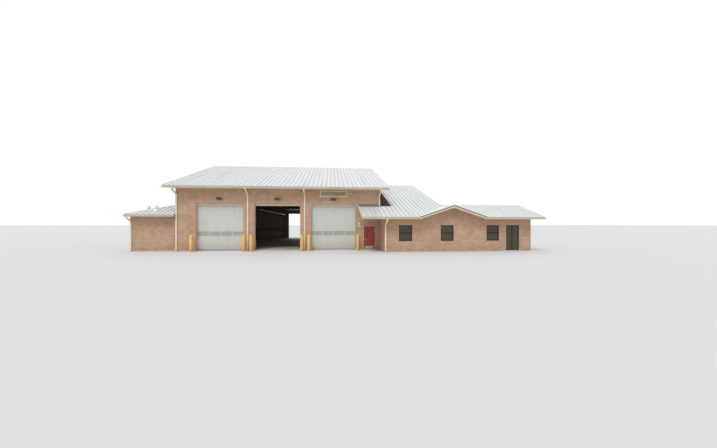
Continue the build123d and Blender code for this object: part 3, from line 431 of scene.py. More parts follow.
# the wall behind the blocks, which shows in the joints and as plain courses inside
def mortarMaterial():
    material, tree, inputs = startMaterial("mortarAndInside", 0.92)
    place = splitPlace(tree, objectPlace(tree))
    along = calculate(tree, "ADD", place["X"], place["Y"])
    up = calculate(tree, "SUBTRACT", place["Z"], floorTop)
    courses = addCourses(
        tree, addNode(tree, "ShaderNodeCombineXYZ", {"X": along, "Y": up}).outputs[0],
        ("mortar", "inner block", "inner joint"), blocks["inner joint"], blocks["length"], blocks["height"],
    )
    paintOver(tree, inputs, courses, colours["dirtAndShade"], 0.12, 0.25, 0.12)
    roughen(tree, inputs, 60, 10, 0.4, 0.5, 0.006)
    return material


# where the first seam of a roof stands, how far apart they are, and how many pans there are
def panGrid(start, end):
    width = end - start - 2 * seams["edge"]
    count = max(1, round(width / seams["pan"]))
    return start + seams["edge"], width / count, count


# coated sheet roofing: pans that swell a little, with run-off stains down the slope and painted shade beside
# the seams
def roofMaterial(name, colour, stain, spanX=None, spanY=None):
    material, tree, inputs = startMaterial(name, 0.42, 0.2)
    place = objectPlace(tree)
    runs = stepUp(tree, stretchedNoise(tree, place, 3.0, (1, 0.08, 0.08), 4), 0.45, 0.8)
    spots = stepUp(tree, stretchedNoise(tree, place, 9.0, detail=6, rough=0.75), 0.55, 0.75)
    shade = weighted(tree, (runs, 0.12), (spots, 0.1))
    if spanX or spanY:
        grid = {}
        for axis, span in (("X", spanX), ("Y", spanY)):
            if span:
                grid["Start " + axis], grid["Pan " + axis] = panGrid(*span)[:2]
        group = addNode(tree, "ShaderNodeGroup", grid, node_tree=panShade).outputs
        # painted shade beside the seams, varied by the run-off noise, plus a random tone for each pan
        uneven = calculate(tree, "MULTIPLY_ADD", runs, 0.5, 0.75)
        seamShade = calculate(tree, "MULTIPLY", group["DirtAndShade"], uneven)
        pans = weighted(tree, (seamShade, seams["dirtAndShade"]), (group["Tone"], seams["tone"]))
        shade = calculate(tree, "MINIMUM", calculate(tree, "ADD", shade, pans), 1.0)
    feed(tree, mixColours(tree, shade, colours[colour], colours[stain]), inputs["Base Color"])
    feed(tree, mapRange(tree, shade, 0.0, 1.0, 0.36, 0.62), inputs["Roughness"])
    roughen(tree, inputs, 25, 1.1, 0.85, 0.35, 0.01)
    return material


def concreteMaterial():
    material, tree, inputs = startMaterial("floorConcrete", 0.75)
    place = objectPlace(tree)
    tones = ("concrete", "concrete bay", "concrete joint")
    bays = addCourses(tree, place, tones, floorBays["joint"], floorBays["length"], floorBays["width"], 0.0)
    stains = stepUp(tree, stretchedNoise(tree, place, 0.8, (1, 0.5, 1), 5), 0.5, 0.8)
    share = calculate(tree, "MULTIPLY", stains, floorBays["stain"])
    feed(tree, mixColours(tree, share, bays, colours["concrete stain"]), inputs["Base Color"])
    roughen(tree, inputs, 90, 5, 0.3, 0.3, 0.003)
    return material


def glassMaterial(name, colour, roughness):
    material, tree, inputs = startMaterial(name, roughness)
    paintOver(tree, inputs, colours[colour], colours["dirtAndShade"], 0.05, 0.1, 0.08)
    roughen(tree, inputs, 3, 0.7, 0.8, 0.05, 0.002)
    return material


# the stretch that each roof's pans are spread over
hallSpan = (hallRoofLow.x, hallRoofHigh.x)
wingSpan = (canopyLeft, lowRoofEnd)
gableSpan = (wingFrontEave, wingFrontEave + gableHalf)
leanSpans = ((leanLow.x, hallLeft), (leanLow.y, leanHigh.y))

materials = {
    "splitBlock": blockMaterial(),
    "mortar": mortarMaterial(),
    "roof": roofMaterial("roofSheet", "roof", "roof stain and seam shade"),
    "roofHall": roofMaterial("roofPansHall", "roof", "roof stain and seam shade", hallSpan),
    "roofWing": roofMaterial("roofPansWing", "roof", "roof stain and seam shade", wingSpan),
    "roofGable": roofMaterial("roofPansGable", "roof", "roof stain and seam shade", None, gableSpan),
    "roofLean": roofMaterial("roofPansLean", "roof", "roof stain and seam shade", *leanSpans),
    "membrane": roofMaterial("roofMembrane", "membrane", "concrete stain"),
    "concrete": concreteMaterial(),
    "trim": paintMaterial("trimPaint", "trim", roughness=0.45, streaks=0.2, patches=0.1),
    "spout": paintMaterial("spoutPaint", "spout", roughness=0.4, splash=0.3, patches=0.08),
    # painted shade for the dark band under the street gable's edge
    "gableEdgeShade": paintMaterial("gableEdgePaintedShade", "gable edge shade", streaks=0.2),
    "jamb": paintMaterial("jambPaint", "jamb", splash=0.5),
    "door": paintMaterial("doorPaint", "door", streaks=0.1, splash=0.45, patches=0.08, grain=18),
    "zinc": paintMaterial("galvanisedSteel", "zinc", "concrete stain", 0.42, 0.75, grain=55, bump=0.2),
    "bronze": paintMaterial("bronzeFrame", "bronze", roughness=0.38, metallic=0.4, streaks=0.08, splash=0.1),
    "red": paintMaterial("redDoorPaint", "red", roughness=0.35, streaks=0.12, splash=0.25),
    "redFrame": paintMaterial("redFramePaint", "red frame", roughness=0.4, streaks=0.12, splash=0.3),
    "steel": paintMaterial("satinSteel", "steel", "concrete stain", 0.32, 0.9, grain=120, bump=0.1),
    "cladding": paintMaterial("claddingPaint", "cladding", roughness=0.48, metallic=0.15, streaks=0.22),
    "bollard": paintMaterial("bollardSleeve", "bollard", roughness=0.55, streaks=0.12, splash=0.75, grain=30),
    "lamp": paintMaterial("lampHousing", "lamp", roughness=0.45, metallic=0.3),
    "vent": paintMaterial("ventPaint", "vent", roughness=0.45, streaks=0.2),
    "signFrame": paintMaterial("signFramePaint", "sign frame", streaks=0.2),
    "signPlate": paintMaterial("signPlatePaint", "sign plate", roughness=0.6, streaks=0.35, patches=0.3),
    # flashing sheet darkened as painted shade
    "flashing": paintMaterial("flashingPaintedShade", "flashing", roughness=0.45, metallic=0.3, streaks=0.2),
    "rubber": paintMaterial("rubberSeal", "rubber", roughness=0.8, streaks=0.1),
    # painted shade under the high wing's rake
    "rakeShade": paintMaterial("paintedRakeShade", "rake shade", streaks=0.1),
    "frostedPane": glassMaterial("frostedPane", "frosted pane", 0.35),
    # painted shade of the dark rooms behind the glass
    "darkPane": glassMaterial("darkPane", "dark pane", 0.06),
    "entryPaneShade": glassMaterial("entryPaneShade", "entry pane shade", 0.06),
    "lampLens": glassMaterial("lampLens", "lamp lens", 0.2),
    "floodLens": glassMaterial("floodLens", "flood lens", 0.12),
}
print("materials made:", len(materials))


# finishes of the CAD nodes
dressing = {
    "mortar": (
        "hall_front_piers", "entry_wall_piers", "entry_wall_over", "door_headers", "hall_rear_piers",
        "hall_left_wall", "hall_right_wall", "wing_front_wall", "wing_rear_walls", "wing_side_walls",
        "lean_walls",
    ),
    "roof": ("ridge_caps",),
    "roofHall": ("hall_roof_slopes",),
    "roofWing": ("wing_front_slope", "wing_rear_slopes"),
    "roofGable": ("front_gable_roof",),
    "roofLean": ("lean_roof",),
    "membrane": ("link_roof",),
    "concrete": ("floor_slab",),
    "trim": ("hall_roof_trim", "wing_roof_trim", "lean_roof_trim", "gutters"),
    "spout": ("downspouts",),
    "jamb": ("doorway_trim",),
    "door": (
        "front_door_left", "front_door_middle", "front_door_right", "rear_door_left", "rear_door_middle",
        "rear_door_right",
    ),
    "zinc": ("door_tracks", "track_hangers", "door_springs", "exhaust_rail"),
    "bronze": ("window_frames",),
    "red": ("entry_door_leaf",),
    "redFrame": ("entry_door_frame",),
    "steel": ("entry_door_hardware", "entry_hinges_frame", "entry_hinges_leaf"),
    "cladding": ("wing_left_gable",),
    "bollard": ("bollards",),
    "frostedPane": ("door_glazing",),
    "darkPane": ("window_glass",),
    "entryPaneShade": ("entry_door_lite",),
    "vent": ("roof_vents",),
    "lamp": ("outside_lights",),
    "signFrame": ("sign_panel",),
}
for finish, names in dressing.items():
    for name in names:
        nodes[name].data.materials.clear()
        nodes[name].data.materials.append(materials[finish])
print("frame dressed")


# mesh helpers
def newObject(name, mesh):
    thing = bpy.data.objects.new(name, mesh)
    scene.collection.objects.link(thing)
    return thing


def meshFrom(name, bm):
    bm.normal_update()
    mesh = bpy.data.meshes.new(name)
    bm.to_mesh(mesh)
    bm.free()
    return mesh


def makePiece(name, bm, material, body="building", bevel=0.0):
    piece = newObject(name, meshFrom(name, bm))
    piece.data.materials.append(materials[material])
    if bevel:
        rounding = piece.modifiers.new("edges", "BEVEL")
        rounding.width = bevel
        rounding.segments = 2
        rounding.limit_method = "ANGLE"
    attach(piece, body)
    return piece


def addBox(bm, low, high):
    corners = [
        bm.verts.new((x, y, z))
        for z in sorted((low[2], high[2]))
        for y in sorted((low[1], high[1]))
        for x in sorted((low[0], high[0]))
    ]
    for ring in ((0, 2, 3, 1), (4, 5, 7, 6), (0, 1, 5, 4), (2, 6, 7, 3), (0, 4, 6, 2), (1, 3, 7, 5)):
        bm.faces.new([corners[i] for i in ring])


# closed sides between two rings of corners that run the same way
def joinRings(bm, near, far):
    for i in range(len(near)):
        j = (i + 1) % len(near)
        bm.faces.new((near[i], near[j], far[j], far[i]))


# a prism: an outline of points, moved along a vector
def addPrism(bm, outline, along):
    outline = [Vector(point) for point in outline]
    along = Vector(along)
    normal = Vector((0, 0, 0))
    for first, second in zip(outline, outline[1:] + outline[:1]):
        normal += first.cross(second)
    if normal.dot(along) > 0:
        outline.reverse()
    near = [bm.verts.new(point) for point in outline]
    far = [bm.verts.new(point + along) for point in outline]
    bm.faces.new(near)
    bm.faces.new(far[::-1])
    joinRings(bm, far, near)


# a prism along X from an outline in Y and Z
def addPrismX(bm, start, end, outline):
    addPrism(bm, [(start, y, z) for y, z in outline], (end - start, 0, 0))


# four bars round a rectangle that faces along Y or X: place and depth on that axis, edges on the other two
def addRing(bm, axis, place, depth, uLow, uHigh, zLow, zHigh, width):
    def corner(u, z, across):
        return (u, across, z) if axis == "y" else (across, u, z)
    for u0, u1, z0, z1 in (
        (uLow, uHigh, zLow, zLow + width),
        (uLow, uHigh, zHigh - width, zHigh),
        (uLow, uLow + width, zLow + width, zHigh - width),
        (uHigh - width, uHigh, zLow + width, zHigh - width),
    ):
        addBox(bm, corner(u0, z0, place), corner(u1, z1, place + depth))


# a turned form: steps of (radius, distance along the axis)
def addTurned(bm, centre, axis, steps, sides=20):
    axis = Vector(axis).normalized()
    side = axis.orthogonal().normalized()
    other = axis.cross(side)
    rings = []
    for radius, reach in steps:
        ring = []
        for i in range(sides):
            angle = 2 * math.pi * i / sides
            way = side * math.cos(angle) + other * math.sin(angle)
            ring.append(bm.verts.new(Vector(centre) + way * radius + axis * reach))
        rings.append(ring)
    for near, far in zip(rings, rings[1:]):
        joinRings(bm, near, far)
    bm.faces.new(rings[0][::-1])
    bm.faces.new(rings[-1])


# geometry node trees: given and returned geometry, with a material put on at the end
def newTree(name, inputs):
    tree = bpy.data.node_groups.new(name, "GeometryNodeTree")
    tree.interface.new_socket("Geometry", in_out="INPUT", socket_type="NodeSocketGeometry")
    for label, (kind, value) in inputs.items():
        socket = tree.interface.new_socket(label, in_out="INPUT", socket_type=kind)
        if value is not None:
            socket.default_value = value
    tree.interface.new_socket("Material", in_out="INPUT", socket_type="NodeSocketMaterial")
    tree.interface.new_socket("Geometry", in_out="OUTPUT", socket_type="NodeSocketGeometry")
    return tree, tree.nodes.new("NodeGroupInput").outputs


def closeTree(tree, given, geometry):
    realize = addNode(tree, "GeometryNodeRealizeInstances", {0: geometry})
    paint = addNode(
        tree, "GeometryNodeSetMaterial", {"Geometry": realize.outputs[0], "Material": given["Material"]}
    )
    addNode(tree, "NodeGroupOutput", {0: paint.outputs[0]})
    return tree


# a vector stored on the points of the given mesh
def storedVector(tree, label):
    node = addNode(tree, "GeometryNodeInputNamedAttribute", {"Name": label}, data_type="FLOAT_VECTOR")
    return node.outputs[0]


# block faces raised off the wall, each by a slightly different amount, with sloped edges and a closed back
def makeBlockTree():
    tree, given = newTree("blockFaces", {
        "Proud": ("NodeSocketFloat", 0.006),
        "Unevenness": ("NodeSocketFloat", 0.003),
        "Bevel": ("NodeSocketFloat", 0.96),
        "Seed": ("NodeSocketInt", 1),
    })
    index = tree.nodes.new("GeometryNodeInputIndex").outputs[0]

    def randomValue(offset):
        inputs = {"ID": index, "Seed": calculate(tree, "ADD", given["Seed"], offset)}
        return addNode(tree, "FunctionNodeRandomValue", inputs, data_type="FLOAT").outputs[1]

    tones = {"Geometry": given["Geometry"], "Name": "tone", "Value": randomValue(0)}
    stored = addNode(tree, "GeometryNodeStoreNamedAttribute", tones, data_type="FLOAT", domain="FACE")
    faces = stored.outputs[0]
    uneven = calculate(tree, "MULTIPLY", randomValue(11), given["Unevenness"])
    height = calculate(tree, "ADD", uneven, given["Proud"])
    lift = {"Mesh": faces, "Offset Scale": height, "Individual": True}
    raised = addNode(tree, "GeometryNodeExtrudeMesh", lift, mode="FACES").outputs
    shrink = {"Geometry": raised["Mesh"], "Selection": raised["Top"], "Scale": given["Bevel"]}
    sloped = addNode(tree, "GeometryNodeScaleElements", shrink, domain="FACE")
    back = addNode(tree, "GeometryNodeFlipFaces", {0: faces})
    join = tree.nodes.new("GeometryNodeJoinGeometry")
    for part in (back, sloped):
        tree.links.new(part.outputs[0], join.inputs[0])
    merge = addNode(tree, "GeometryNodeMergeByDistance", {"Geometry": join.outputs[0], "Distance": 0.0001})
    return closeTree(tree, given, merge.outputs[0])


# a bar with sloped sides along each edge of a mesh, its narrow side the way the edge's facing says
def makeBarTree():
    tree, given = newTree("barsOnEdges", {
        "Height": ("NodeSocketFloat", 0.04),
        "Base Width": ("NodeSocketFloat", 0.03),
        "Top Width": ("NodeSocketFloat", 0.02),
    })
    tangent = tree.nodes.new("GeometryNodeInputTangent").outputs[0]
    across = addNode(
        tree, "ShaderNodeVectorMath", {0: storedVector(tree, "facing"), 1: tangent}, operation="CROSS_PRODUCT"
    ).outputs[0]
    curve = addNode(tree, "GeometryNodeMeshToCurve", {"Mesh": given["Geometry"]}).outputs[0]
    turned = addNode(tree, "GeometryNodeSetCurveNormal", {"Curve": curve, "Normal": across}, mode="FREE")
    sizes = {
        "Height": given["Height"],
        "Bottom Width": given["Base Width"],
        "Top Width": given["Top Width"],
        "Offset": 0,
    }
    profile = addNode(tree, "GeometryNodeCurvePrimitiveQuadrilateral", sizes, mode="TRAPEZOID").outputs[0]
    sweep = {"Curve": turned.outputs[0], "Profile Curve": profile, "Fill Caps": True}
    return closeTree(tree, given, addNode(tree, "GeometryNodeCurveToMesh", sweep).outputs[0])


# copies of one shape on points, each with its own turn
def makeCopyTree():
    tree, given = newTree("copiesOnPoints", {
        "Shape": ("NodeSocketObject", None),
        "Size": ("NodeSocketFloat", 1.0),
    })
    points = addNode(tree, "GeometryNodeMeshToPoints", {"Mesh": given["Geometry"]}).outputs[0]
    shape = addNode(tree, "GeometryNodeObjectInfo", {"Object": given["Shape"]}).outputs["Geometry"]
    turn = storedVector(tree, "turn")
    copies = {"Points": points, "Instance": shape, "Rotation": turn, "Scale": given["Size"]}
    return closeTree(tree, given, addNode(tree, "GeometryNodeInstanceOnPoints", copies).outputs[0])


blockTree = makeBlockTree()
barTree = makeBarTree()
copyTree = makeCopyTree()


# puts a tree on a mesh, sets its inputs by identifier, and keeps the result as a plain mesh
def growPiece(name, mesh, tree, values, material, body="building"):
    source = newObject(name, mesh)
    modifier = source.modifiers.new("grow", "NODES")
    modifier.node_group = tree
    keys = {item.name: item.identifier for item in tree.interface.items_tree if item.in_out == "INPUT"}
    for label, value in {**values, "Material": materials[material]}.items():
        modifier[keys[label]] = value
    source.update_tag()
    depsgraph = bpy.context.evaluated_depsgraph_get()
    grown = bpy.data.meshes.new_from_object(source.evaluated_get(depsgraph), depsgraph=depsgraph)
    source.modifiers.remove(modifier)
    source.data = grown
    grown.name = name
    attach(source, body)
    return source


def pointMesh(name, points, edges, label, vectors):
    mesh = bpy.data.meshes.new(name)
    mesh.from_pydata([tuple(point) for point in points], edges, [])
    attribute = mesh.attributes.new(label, "FLOAT_VECTOR", "POINT")
    attribute.data.foreach_set("vector", [value for vector in vectors for value in vector])
    return mesh


# bars that stand on lines (start, end, the way they face); sizes are height, base and top width
def layBars(name, lines, sizes, material):
    height, base, top = sizes
    middle = height / 2 - min(0.002, height / 4)
    points, facings = [], []
    for start, end, facing in lines:
        facing = Vector(facing).normalized()
        points += [Vector(place) + facing * middle for place in (start, end)]
        facings += [facing, facing]
    edges = [(2 * i, 2 * i + 1) for i in range(len(lines))]
    mesh = pointMesh(name, points, edges, "facing", facings)
    values = {"Height": height, "Base Width": base, "Top Width": top}
    return growPiece(name, mesh, barTree, values, material)


# copies of a shape at places: (point, turn)
# the shape faces the street, and its origin lies on what carries it
def layCopies(name, bm, places, material, body="building", size=1.0):
    shape = newObject(name + "Shape", meshFrom(name + "Shape", bm))
    points = pointMesh(name, [place for place, turn in places], [], "turn", [turn for place, turn in places])
    piece = growPiece(name, points, copyTree, {"Shape": shape, "Size": size}, material, body)
    bpy.data.objects.remove(shape)
    return piece


streetward = (0, 0, 0)
rearward = (0, 0, math.pi)
leftward = (0, 0, -math.pi / 2)
rightward = (0, 0, math.pi / 2)
upward = (-math.pi / 2, 0, 0)
downward = (math.pi / 2, 0, 0)


def facingOut(onStreetSide):
    return streetward if onStreetSide else rearward


# screw heads at places: (point, the way they face)
def layScrews(name, places, radius, body="building"):
    bm = bmesh.new()
    addTurned(bm, (0, 0, 0), (0, 0, 1), [(1, -0.1), (1, 0.25), (0.6, 0.5)], 8)
    turned = [(place, Vector(facing).to_track_quat("Z", "Y").to_euler()) for place, facing in places]
    return layCopies(name, bm, turned, "steel", body, radius)


# block walls: courses in running bond on each wall's outline, left open at the doorways and windows
def clipOutline(points, outline):
    for first, second in zip(outline, outline[1:] + outline[:1]):
        edge = (second[0] - first[0], second[1] - first[1])

        def side(point):
            return edge[0] * (point[1] - first[1]) - edge[1] * (point[0] - first[0])
        kept = []
        for start, end in zip(points, points[1:] + points[:1]):
            a, b = side(start), side(end)
            if a >= 0:
                kept.append(start)
            if (a > 0 > b) or (a < 0 < b):
                share = a / (a - b)
                kept.append((start[0] + share * (end[0] - start[0]), start[1] + share * (end[1] - start[1])))
        points = kept
        if len(points) < 3:
            return []
    return points


def rectangle(u0, u1, z0, z1):
    return [(u0, z0), (u1, z0), (u1, z1), (u0, z1)]


def outlineArea(points):
    return abs(sum(a[0] * b[1] - b[0] * a[1] for a, b in zip(points, points[1:] + points[:1]))) / 2


# what is left of a block (u from, u to, z from, z to) beside an opening
def cutAway(block, opening):
    u0, u1, z0, z1 = block
    left, right, bottom, top = opening
    if u1 <= left or u0 >= right or z1 <= bottom or z0 >= top:
        return [block]
    inner = max(u0, left + 0.001), min(u1, right - 0.001)
    parts = ((u0, left, z0, z1), (right, u1, z0, z1), (*inner, z0, bottom), (*inner, top, z1))
    return [part for part in parts if min(part[1] - part[0], part[3] - part[2]) > blocks["joint"]]


def wallBlocks(outline, openings):
    length, height, half = blocks["length"], blocks["height"], blocks["joint"] / 2
    left, right = (pick(point[0] for point in outline) for pick in (min, max))
    low, high = (pick(point[1] for point in outline) for pick in (min, max))
    faces = []
    course = math.floor((low - floorTop) / height + 1e-6)
    while floorTop + course * height < high:
        z = floorTop + course * height
        u = left - (length / 2 if course % 2 else 0)
        while u < right:
            parts = [(u + half, u + length - half, z + half, z + height - half)]
            for opening in openings:
                parts = [rest for part in parts for rest in cutAway(part, opening)]
            for part in parts:
                shape = clipOutline(rectangle(*part), outline)
                if len(shape) > 2 and outlineArea(shape) > blocks["smallest"]:
                    faces.append(shape)
            u += length
        course += 1
    return faces


# each wall: where it starts, which way it runs, its outline, and its openings along the run
# the outside is on the right of the run
def layBlocks(name, *walls):
    verts, faces = [], []
    for start, way, outline, openings in walls:
        way = Vector((*way, 0))
        out = way.cross(Vector((0, 0, 1)))
        base = Vector((*start, 0)) - out * blocks["sunk"]
        for shape in wallBlocks(outline, openings):
            faces.append(tuple(range(len(verts), len(verts) + len(shape))))
            verts += [tuple(base + way * u + Vector((0, 0, z))) for u, z in shape]
    mesh = bpy.data.meshes.new(name)
    mesh.from_pydata(verts, [], faces)
    values = {
        "Proud": blocks["proud"] + blocks["sunk"],
        "Unevenness": blocks["unevenness"],
        "Bevel": blocks["bevel"],
        "Seed": blocks["seed"],
    }
    return growPiece(name, mesh, blockTree, values, "splitBlock")


# openings of the windows in one wall, measured along its run
# facing is the axis that the wall faces, place is where on it, and origin is where the run starts
def windowGaps(facing, place, origin, sign=1):
    across, along = (0, 1) if facing == "x" else (1, 0)
    gaps = []
    for low, high in windowBoxes:
        if high[across] - low[across] < wingWall and abs((low[across] + high[across]) / 2 - place) < wingWall:
            ends = sorted(sign * (corner[along] - origin) for corner in (low, high))
            gaps.append((*ends, low.z, high.z))
    return gaps


def plainWall(start, way, length, top, gaps=()):
    return start, way, rectangle(0, length, floorTop, top), gaps


# points along the lower face of the roofs, measured along a wall's run
def roofLine(origin, sign, *points):
    return [(sign * (place - origin), under(top, place)) for top, place in points]


windowBoxes = solidBoxes("window_frames")
hallWidth, hallDepth = hallRight - hallLeft, hallRear - hallFront
entryLow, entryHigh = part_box("entry_door_frame")
doorwayGaps = [(start - hallLeft, end - hallLeft, floorTop, doorwayHead) for start, end in doorways]
frontGaps = doorwayGaps + [(entryLow.x - hallLeft, entryHigh.x - hallLeft, floorTop, entryHigh.z)]
rearGaps = [(hallWidth - end, hallWidth - start, low, high) for start, end, low, high in doorwayGaps]
layBlocks("hallFrontBlocks", plainWall((hallLeft, hallFront), (1, 0), hallWidth, hallSoffit, frontGaps))
layBlocks("hallRearBlocks", plainWall((hallRight, hallRear), (-1, 0), hallWidth, hallSoffit, rearGaps))

# the left gable wall runs from the rear and the right one from the street
hallGable = [(hallTop, hallFront), (hallTop, 0), (hallTop, hallRear)]
wingOverLink = 0.9  # how far above the link roof the wing's roof meets the hall
layBlocks("hallLeftBlocks", ((hallLeft, hallRear), (0, -1), [
    (0, floorTop), (hallDepth, floorTop), *roofLine(hallRear, -1, *hallGable),
], []))
layBlocks("hallRightBlocks", ((hallRight, hallFront), (0, 1), [
    (0, linkLow.z + wingOverLink), (hallDepth, linkLow.z), *roofLine(hallFront, 1, *hallGable[::-1]),
], []))

courseTop = floorTop + math.floor((wingSoffit - floorTop) / blocks["height"]) * blocks["height"]
wingDepth, returnDepth = lowWallRear - wingFront, hallFront - wingFront
besideLowRoof = (wingFrontEave - wingFront + 1, wingEaveTop)  # the high part's wall starts above the low roof
layBlocks(
    "wingFrontBlocks",
    plainWall((hallRight, wingFront), (1, 0), wingEnd - hallRight, courseTop,
              windowGaps("y", wingFront, hallRight)),
    ((hallRight, wingFront), (1, 0), [
        (gableLeft - hallRight, courseTop), (gableRight - hallRight, courseTop),
        *roofLine(hallRight, 1, *((gableTop, x) for x in (gableRight, gableCentre, gableLeft))),
    ], []),
    ((hallRight, hallFront), (0, -1), [
        (0, floorTop), (returnDepth, floorTop),
        *roofLine(hallFront, -1, (wingTop, wingFront), (wingTop, hallFront)),
    ], []),
)
layBlocks(
    "wingSideBlocks",
    ((highWallRight, wingFront), (0, 1), [
        besideLowRoof, (wingDepth, floorTop), (hallRear - wingFront, floorTop),
        *roofLine(wingFront, 1, (highRearTop, hallRear), (wingTop, highRidgeY)),
    ], windowGaps("x", highWallRight, wingFront)),
    ((wingEnd, wingFront), (0, 1), [
        (0, floorTop), (wingDepth, floorTop),
        *roofLine(wingFront, 1, (lowRearTop, lowWallRear), (wingTop, lowRidgeY), (wingTop, wingFront)),
    ], windowGaps("x", wingEnd, wingFront)),
)
layBlocks(
    "wingRearBlocks",
    plainWall((highWallRight, hallRear), (-1, 0), highWallRight - highWallLeft, wingSoffit,
              windowGaps("y", hallRear, highWallRight, -1)),
    plainWall((highWallLeft, hallRear), (-1, 0), highWallLeft - hallRight, linkLow.z),
    plainWall((wingEnd, lowWallRear), (-1, 0), wingEnd - highWallRight, wingSoffit,
              windowGaps("y", lowWallRear, wingEnd, -1)),
)
leanWidth, leanDepth = hallLeft - leanWallLow.x, leanWallHigh.y - leanWallLow.y
layBlocks(
    "leanBlocks",
    plainWall((leanWallLow.x, leanWallLow.y), (1, 0), leanWidth, leanSoffit),
    plainWall((leanWallLow.x, leanWallHigh.y), (0, -1), leanDepth, leanSoffit),
    plainWall((hallLeft, leanWallHigh.y), (-1, 0), leanWidth, leanSoffit),
)


# the wall beside the entry goes up to the canopy, and wedges close the walls' corners under the roof
def makeWallTops():
    low, high = sideWalls[0]
    foot, gap = high.z - 0.001, 0.003
    bm = bmesh.new()
    ends = [(y, under(wingTop, y) - gap) for y in (high.y, low.y)]
    addPrismX(bm, low.x, high.x, [(low.y, foot), (high.y, foot), *ends])
    corners = [
        (wingEnd, -wingWall, wingFront, wingWall, wingTop),
        (wingEnd, -wingWall, lowWallRear, -wingWall, lowRearTop),
        (highWallRight, -wingWall, hallRear, -wingWall, highRearTop),
    ]
    for x, across in ((hallLeft, hallWall), (hallRight, -hallWall)):
        for y, back in ((hallFront, hallWall), (hallRear, -hallWall)):
            corners.append((x, across, y, back, hallTop))
    for x, across, y, back, top in corners:
        z = under(top, y)
        addPrismX(bm, x, x + across, [(y, z), (y + back, z), (y + back, z + abs(back) * pitch - 0.002)])
    makePiece("wallTops", bm, "mortar")


makeWallTops()
print("block walls laid")


# roof sheets: a standing seam at every pan's edge (true) and two low ribs in the pan (false)
def seamPlaces(start, end):
    first, step, count = panGrid(start, end)
    return [(first + i * step, True) for i in range(count + 1)] + [
        (first + (i + share) * step, False) for i in range(count) for share in (1 / 3, 2 / 3)
    ]


# a line up a slope, along Y or X, and the way the roof faces there
def slopeLine(axis, place, start, end, top):
    low, high = top(start), top(end)
    slope = (high - low) / (end - start)
    if axis == "y":
        return (place, start, low), (place, end, high), (0, -slope, 1)
    return (start, place, low), (end, place, high), (-slope, 0, 1)


def layRoof(name, lines):
    shortest = 0.15
    lines = [line for line in lines if (Vector(line[0][0]) - Vector(line[0][1])).length > shortest]
    seamSizes = [seams[key] for key in ("height", "base", "top")]
    ribSizes = [seams[key] for key in ("ribHeight", "ribBase", "ribTop")]
    layBars(name + "Seams", [line for line, tall in lines if tall], seamSizes, "roof")
    layBars(name + "Ribs", [line for line, tall in lines if not tall], ribSizes, "roof")


def makeSeams():
    reach, valley, besideCap = seams["capReach"], seams["valley"], 0.1
    hall = [
        (slopeLine("y", x, side * hallRun, side * reach, hallTop), tall)
        for x, tall in seamPlaces(*hallSpan) for side in (-1, 1)
    ]
    layRoof("hall", hall)
    wing = []
    for x, tall in seamPlaces(*wingSpan):
        ridge = highRidgeY if x < highRoofRight else lowRidgeY
        upper = hallFront if x < highRoofLeft else ridge - reach
        intoGable = gableHalf - abs(x - gableCentre)
        lower = wingFrontEave + (intoGable + valley if intoGable > 0 else 0)
        if upper > lower:
            wing.append((slopeLine("y", x, lower, upper, wingTop), tall))
        if highRoofLeft < x < highRoofRight:
            wing.append((slopeLine("y", x, wingRearEave, highRidgeY + reach, highRearTop), tall))
        if x > highRoofRight:
            wing.append((slopeLine("y", x, lowRearEave, lowRidgeY + reach, lowRearTop), tall))
    layRoof("wing", wing)
    gable = []
    for y, tall in seamPlaces(*gableSpan):
        run = gableHalf - (y - wingFrontEave + valley)
        if run > besideCap:
            for side in (-1, 1):
                ends = gableCentre + side * run, gableCentre + side * besideCap
                gable.append((slopeLine("x", y, *ends, gableTop), tall))
    layRoof("frontGable", gable)
    lean, shortest = [], 0.2
    for y, tall in seamPlaces(*leanSpans[1]):
        run = min(leanRun, y - leanLow.y - besideCap, leanHigh.y - y - besideCap)
        if run > shortest:
            lean.append((slopeLine("x", y, leanLow.x, leanLow.x + run, lambda x: leanTop(x, y)), tall))
    for x, tall in seamPlaces(*leanSpans[0]):
        run = x - leanLow.x - besideCap
        if run > shortest:
            for eave, sign in ((leanLow.y, 1), (leanHigh.y, -1)):
                lean.append((slopeLine("y", x, eave, eave + sign * run, lambda y: leanTop(x, y)), tall))
    layRoof("lean", lean)


makeSeams()
print("roof seams laid")


# flashings: drip edges over the gutters, covers over the rakes, valleys, hips and wall joints
flashing = {
    "sheet": 0.004,
    "drip": 0.03,
    "dripBack": 0.07,
    "dripLip": 0.024,
    "board": 0.025,
    "rakeTop": 0.13,
    "rakeSide": 0.085,
    "wallStep": 0.36,
    "valley": 0.2,
    "hipBase": 0.3,
    "hipTop": 0.06,
    "hipHeight": 0.06,
    "upstand": 0.17,
    "apron": 0.16,
    "proud": 0.011,
}

soffit = {"every": 0.4, "rib": (0.006, 0.022, 0.012), "lining": 0.01, "gap": 0.014, "offEdge": 0.005}


